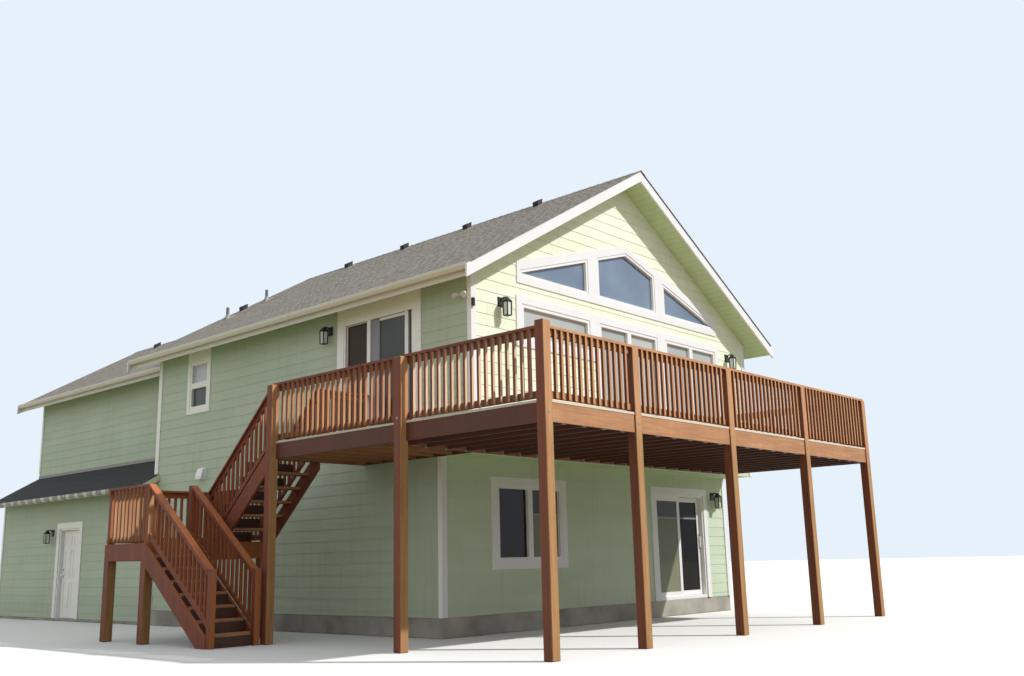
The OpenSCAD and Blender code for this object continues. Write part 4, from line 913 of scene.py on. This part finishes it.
fittings = Sizes(floodU=4.59, floodZ=5.21, floodApart=0.09, floodOff=0.13, floodAim=(-0.62, -0.3, -0.35),
                 hoodU=(-2.94, -2.72), hoodZ=2.86, hoodH=0.2, hoodRim=0.015, lampIn=0.008, lampZ=5.12,
                 lampOff=0.05)


def makeFittings():  # flood lights, vent hood and the small lamp at the front corner
    white, dark, n = Stack(), Stack(), fittings
    u, z = n.floodU, n.floodZ
    white.tube([leftFace.at(u, z, 0.015), leftFace.at(u, z, 0.045)], [0.055, 0.05], 16)
    for s in (-1, 1):
        aim = Vector((n.floodAim[0], n.floodAim[1] * s, n.floodAim[2])).normalized()
        head = leftFace.at(u + s * n.floodApart, z - 0.005, n.floodOff)
        white.tube([leftFace.at(u + s * 0.02, z, 0.04), head], 0.012, 8)
        white.tube([head + aim * a for a in (-0.03, -0.02, 0.03, 0.055)], [0.012, 0.027, 0.036, 0.042], 16)
        white.tube([head + aim * 0.0555, head + aim * 0.058], 0.037, 16, slot=1)
    (u0, u1), z0, z1, rim = n.hoodU, n.hoodZ, n.hoodZ + n.hoodH, n.hoodRim
    white.panel(leftFace, rectangle(u0 - rim, u1 + rim, z0 - rim, z1 + rim), 0.0, 0.022)
    profile = [(0.02, z1), (0.06, z1), (0.115, z0 + 0.05), (0.11, z0 - 0.01), (0.02, z0)]
    white.solid([leftFace.at(u0, h, o) for o, h in profile], [leftFace.at(u1, h, o) for o, h in profile])
    white.make("wall_fittings", "trim", "lamp", bevel=0.002, slot="white_trim")
    u, z, off = n.lampIn - house.side, n.lampZ, n.lampOff
    dark.tube([gableFace.at(u, z, 0.02), gableFace.at(u, z, 0.032)], 0.026, 16)
    dark.tube([gableFace.at(u, z, 0.03), gableFace.at(u, z, off)], 0.009, 10)
    dark.tube([gableFace.at(u, h, off) for h in (z + 0.02, z + 0.012, z - 0.11)], [0.012, 0.024, 0.028], 16)
    dark.make("corner_lamp", "black", slot="dark_metal")


makeFittings()
print("fittings fixed")


vent = Sizes(half=0.07, high=0.105, lip=0.006, apron=0.05, inFrom=0.3, first=1.87, last=1.52, count=4,
             lowIn=0.512, lowBack=0.06, rearIn=1.2, slats=3, slatZ=0.024, slatPitch=0.019, pipe=0.036,
             bore=0.03, pipeHigh=0.26, pipes=((0.643, 0.15), (0.393, 0.13)))


def slopeBox(stack, spot, half, wide, low, high):  # a box between two heights over a left slope
    x, y, mid, top = spot
    corners = [(x + a * half, y + b * wide) for b, a in fourCorners]
    stack.solid(*[[(a + mid, b, top + roofRise * a + lift) for a, b in corners] for lift in (low, high)])


def makeVents():  # louvred vents and open pipes, with their flashings
    pale, dark, v, half = Stack(), Stack(), vent, vent.half
    step = (house.backY - house.gableY - v.first - v.last) / (v.count - 1)
    spots = [(-v.inFrom, house.gableY + v.first + i * step, 0.0, roofHigh.z) for i in range(v.count)]
    spots.append((-house.side * v.lowIn, house.backY + v.lowBack, 0.0, roofHigh.z))
    spots.append((-v.inFrom, house.rearEnd - v.rearIn, rearMid, rearRoofHigh.z))
    for spot in spots:
        slopeBox(pale, spot, half + v.apron, half + v.apron, 0.004, 0.017)
        slopeBox(dark, spot, half, half, 0.0, v.high)
        slopeBox(dark, spot, half + v.lip, half + v.lip, v.high - 0.004, v.high + 0.014)
        for k in range(v.slats):
            z = v.slatZ + k * v.slatPitch
            slopeBox(dark, (spot[0] - half - 0.004, *spot[1:]), 0.006, half - 0.015, z, z + 0.009)
    for reach, back in v.pipes:
        x, y = -reach * house.side, house.backY - back
        z = roofHigh.z + roofRise * x
        slopeBox(pale, (x, y, 0.0, roofHigh.z), 0.13, 0.13, 0.004, 0.017)
        pale.tube([(x, y, z - 0.01), (x, y, z + 0.05), (x, y, z + 0.09)], [0.085, 0.05, 0.042], 20)
        rim = z + v.pipeHigh
        dark.tube([(x, y, z), (x, y, rim)], v.pipe, 24, slot=1)
        dark.tube([(x, y, rim - 0.002), (x, y, rim + 0.0005)], v.bore, 24)
    pale.make("roof_flashings", "flashing", slot="dark_metal")
    dark.make("roof_vent_hoods", "vent", "pipe", bevel=0.003, stands=["roof_vents"], slot="dark_metal")


makeVents()
print("vents fitted")


strap = Sizes(pitch=0.6, skirtPitch=0.3, width=0.022, thick=0.003, gutter=0.1, drop=0.02, hang=0.05,
              rearStart=0.46, coverZ=(-0.01, 0.06), coverT=0.022, trimY=(-0.004, 0.045), trimH=0.006)


def makeStraps():  # bands that hold the gutters
    stack, h = Stack(), house
    rows = ((roofLow, roofHigh, roofHigh.x, roofLow.y, roofHigh.y, strap.pitch),
            (rearRoofLow, rearRoofHigh, rearRoofHigh.x - rearMid, h.backY + strap.rearStart, rearRoofHigh.y,
             strap.pitch),
            (skirtLow, skirtHigh, h.rearUpLeft - skirtLow.x, h.backY, h.rearEnd, strap.skirtPitch))
    for low, high, run, y0, y1, pitch in rows:
        z = high.z - run * roofRise - strap.drop
        for x, s in ((low.x, -1), (high.x, 1)):
            inner, outer = x + s * strap.gutter, x + s * (strap.gutter + strap.thick)
            for k in range(int((y1 - y0) / pitch)):
                y = y0 + (k + 0.5) * pitch
                stack.block(*sorted((x, outer)), y, y + strap.width, z, z + strap.thick)
                stack.block(*sorted((inner, outer)), y, y + strap.width, z - strap.hang, z)
    stack.make("gutter_straps", "gutter", slot="gutter_white")


def makeCovers():  # flashing over the skirt roofs, trim along the lower edge of the overhanging gable wall
    cover, line, h = Stack(), Stack(), house
    z0, z1 = (skirtHigh.z + z for z in strap.coverZ)
    cover.panel(rearUpLeftFace, rectangle(-h.rearEnd, -h.backY, z0, z1), 0.0, strap.coverT)
    cover.panel(rearUpRightFace, rectangle(h.backY, h.rearEnd, z0, z1), 0.0, strap.coverT)
    cover.make("skirt_flashing", "flashing", slot="dark_metal")
    line.block(-h.side, h.side, *(h.gableY + y for y in strap.trimY), h.groundTop - strap.trimH, h.groundTop)
    line.make("overhang_trim", "trim", slot="white_trim")


makeStraps()
makeCovers()
print("gutters strapped")


leaf = Sizes(stile=0.12, mid=0.1, rows=((0.24, 0.82), (0.92, 1.56), (1.64, 1.86)), moulding=0.022, field=0.03,
             raise1=0.008, raise2=0.005, knobIn=0.07, knobUp=0.95, rose=0.036, lock=0.024, lockUp=0.14,
             play=0.066, thick=0.045, gap=0.0225)


def makeDoorPanels():
    stack, half = Stack(), sizes.entryW / 2 - leaf.play
    y0, y1, base = entryY - half, entryY + half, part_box("entry_door")[0].z
    inX = -house.side + house.wall - leaf.gap
    columns = ((y0 + leaf.stile, entryY - leaf.mid / 2), (entryY + leaf.mid / 2, y1 - leaf.stile))
    for face, sign in ((Face((-1, 0, 0), leaf.thick - inX), -1), (Face((1, 0, 0), inX), 1)):
        for column in columns:
            for z0, z1 in leaf.rows:
                outline = rectangle(*sorted(sign * y for y in column), base + z0, base + z1)
                stack.ring(face, outline, leaf.moulding, 0.0, leaf.raise1)
                stack.panel(face, inset(outline, leaf.moulding + leaf.field), 0.0, leaf.raise2)
        knob, up = sign * (y1 - leaf.knobIn), base + leaf.knobUp
        for z, radius, off in ((up, leaf.rose, 0.008), (up + leaf.lockUp, leaf.lock, 0.014)):
            stack.tube([face.at(knob, z), face.at(knob, z, off)], radius, 20, slot=1)
    stack.make("entry_panels", "trim", "steel", body="entry_leaf", bevel=0.002, slot="white_trim")


patio = Sizes(faceIn=0.032, handleIn=0.0375, handleUp=1.11, plate=(0.03, 0.15), lockDown=0.2, lock=0.014)


def makePatioTrim():  # lock plate behind the handle, on the sliding panel
    stack, p = Stack(), patio
    low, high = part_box("patio_sliding_panel")
    face = Face((0, -1, 0), -low.y - p.faceIn)
    x, z, (wide, tall) = high.x - p.handleIn, house.slabZ + p.handleUp, p.plate
    stack.panel(face, rectangle(x - wide, x + wide, z - tall, z + tall), -0.001, 0.003)
    stack.tube([face.at(x, z - p.lockDown), face.at(x, z - p.lockDown, 0.004)], p.lock, 16)
    stack.make("patio_lock", "steel", body="patio_slider", slot="dark_metal")


makeDoorPanels()
makePatioTrim()
print("doors detailed")


def dress(nodes, names, bevel=0.0, rule=None):  # rule picks a face's finish from its middle and normal
    for node in nodes.split():
        piece = cad[node]
        piece.data.materials.clear()
        for name in names.split():
            piece.data.materials.append(finish[name])
        if bevel:
            merge = piece.modifiers.new("weld", "WELD")
            merge.merge_threshold = 0.0002
            soften(piece, bevel)
        if rule:
            for polygon in piece.data.polygons:
                polygon.material_index = rule(polygon.center, polygon.normal)


def byGrain(nodes):  # the grain follows a face's longest side: finishes x, y, z
    for mesh in [cad[node].data for node in nodes.split()]:
        for polygon in mesh.polygons:
            corners = [mesh.vertices[i].co for i in polygon.vertices]
            spans = [max(c[a] for c in corners) - min(c[a] for c in corners) for a in range(3)]
            polygon.material_index = spans.index(max(spans))


# The way to the room behind each plain wall
roomSides = {(0, 1, 0): "front_wall_left front_wall_right front_wall_over_door front_gable_wall",
             (1, 0, 0): "left_wall_upper rear_side_wall_front rear_side_wall_back rear_side_wall_over_door",
             (-1, 0, 0): "right_wall_upper rear_right_wall",
             (0, -1, 0): "main_back_wall rear_end_wall"}


def dressWalls():  # paint outdoors, a plain wall finish indoors
    for way, nodes in roomSides.items():
        dress(nodes, "siding room", rule=lambda spot, normal: int(normal.dot(Vector(way)) > 0.5))
    for node in ("ground_side_walls", "rear_upper_side_walls"):
        middle = sum(corner.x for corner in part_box(node)) / 2
        dress(node, "siding room", rule=lambda spot, normal: int(normal.x * (middle - spot.x) > 0.5))


def upperPane(spot, normal):  # which glass a pane of the upper storey has
    if spot.y < house.gableY + house.wall:
        return 0 if spot.z > rakedBase - 0.05 else 1
    if spot.x < -house.side + house.wall:
        if spot.y > 0:
            return 4 if spot.z > smallHead - sizes.smallH / 2 else 3
        return 2 if spot.y > sideDoorY + sizes.sideDoorBar else 3
    return 3


def lowerPane(spot, normal):
    if spot.y < house.groundY + house.wall:
        return 0 if spot.x < sizes.groundX else 1
    return 2


def frameSide(spot, normal):  # underside, faces across x, others
    return 2 if normal.z < -0.5 else 1 if abs(normal.x) > 0.5 else 0


def dressFrame():
    dressWalls()
    dress("main_slab rear_slab", "concrete", 0.008)
    dress("upper_floor rear_upper_floor", "floor soffit siding",
          rule=lambda spot, normal: 1 if normal.z < -0.5 else 0 if normal.z > 0.5 else 2)
    for nodes, cover in (("main_roof rear_roof", "roof"), ("skirt_roofs", "pent")):
        dress(nodes, cover + " soffit gutter",
              rule=lambda spot, normal: 0 if normal.z > 0.3 else 1 if normal.z < -0.3 else 2)
    dress("barge_boards corner_boards gable_windows side_windows patio_door_frame patio_sliding_panel"
          " entry_door_frame entry_door", "trim", 0.003)
    dress("gutters", "gutter oldGutter", 0.002, lambda spot, normal: int(spot.z < skirtHigh.z))
    dress("upper_glass", "glassSky glassPale glassBrown glassGrey glassBlind", rule=upperPane)
    dress("ground_glass", "glassDark glassOlive glassGrey", rule=lowerPane)
    dress("patio_sliding_glass", "glassDoor")
    # undersides take the painted-shade underside finish, and the deck frames' faces across x the
    # painted-shade rim finish
    dress("front_deck_frame side_deck_frame", "rimX rimY under", 0.003, frameSide)
    dress("stair_landing", "stairX stairY under", 0.003, frameSide)
    dress("deck_posts", "postZ", 0.006)
    plain = "front_railing side_railings stair_treads"
    stair = "landing_railings stair_railings stair_stringers"
    dress(plain, "woodX woodY woodZ silverZ", 0.003)
    dress(stair, "stairX stairY stairZ", 0.003)
    byGrain(plain + " " + stair)
    for polygon in cad["side_railings"].data.polygons:  # the balusters of the foremost bays, which the sun reaches, are paler on their sunlit faces: partly weathering, partly painted sunlight
        if polygon.material_index == 2 and polygon.center.y < leftPostsY[0]:
            polygon.material_index = 3


dressFrame()
print("frame dressed")


light = Sizes(sun=3.8, sunColour=(1.0, 0.975, 0.94), sunTurn=(49, 0, 30), spread=1.2, world=0.75,
              sky=(0.80, 0.88, 0.97, 1.0), shade=(0.94, 0.97, 1.0, 1.0), floor="#e6e6e3",
              floorBounce="#7f7a5b", reach=150, drop=0.002)


def makeStage():
    mesh = bpy.data.meshes.new("floor")
    corners = rectangle(-light.reach, light.reach, -light.reach, light.reach)
    mesh.from_pydata([(x, y, 0) for x, y in corners], [], [(0, 1, 2, 3)])
    f = Finish("floor", light.floor, 0.9)
    f.set(Base_Color=f.mix(f.seen(), light.floorBounce, light.floor))
    mesh.materials.append(f.material)
    ground = bpy.data.objects.new("floor", mesh)
    ground.location.z = -light.drop
    lamp =bpy.data.lights.new("sun", "SUN")
    lamp.energy, lamp.angle, lamp.color = light.sun, math.radians(light.spread), light.sunColour
    sun = bpy.data.objects.new("sun", lamp)
    sun.rotation_euler = [math.radians(a) for a in light.sunTurn]
    for thing in (ground, sun):
        bpy.context.collection.objects.link(thing)
    world = bpy.context.scene.world = bpy.data.worlds.new("world")
    world.use_nodes = True
    w = Nodes(world.node_tree)
    seen, background = w.seen(), w.tree.nodes["Background"]
    w.link(w.mix(seen, light.shade, light.sky), background.inputs["Color"])
    w.link(light.world + seen * (1.0 - light.world), background.inputs["Strength"])
    bpy.context.scene.view_settings.view_transform = "Standard"


makeStage()
print("stage set")
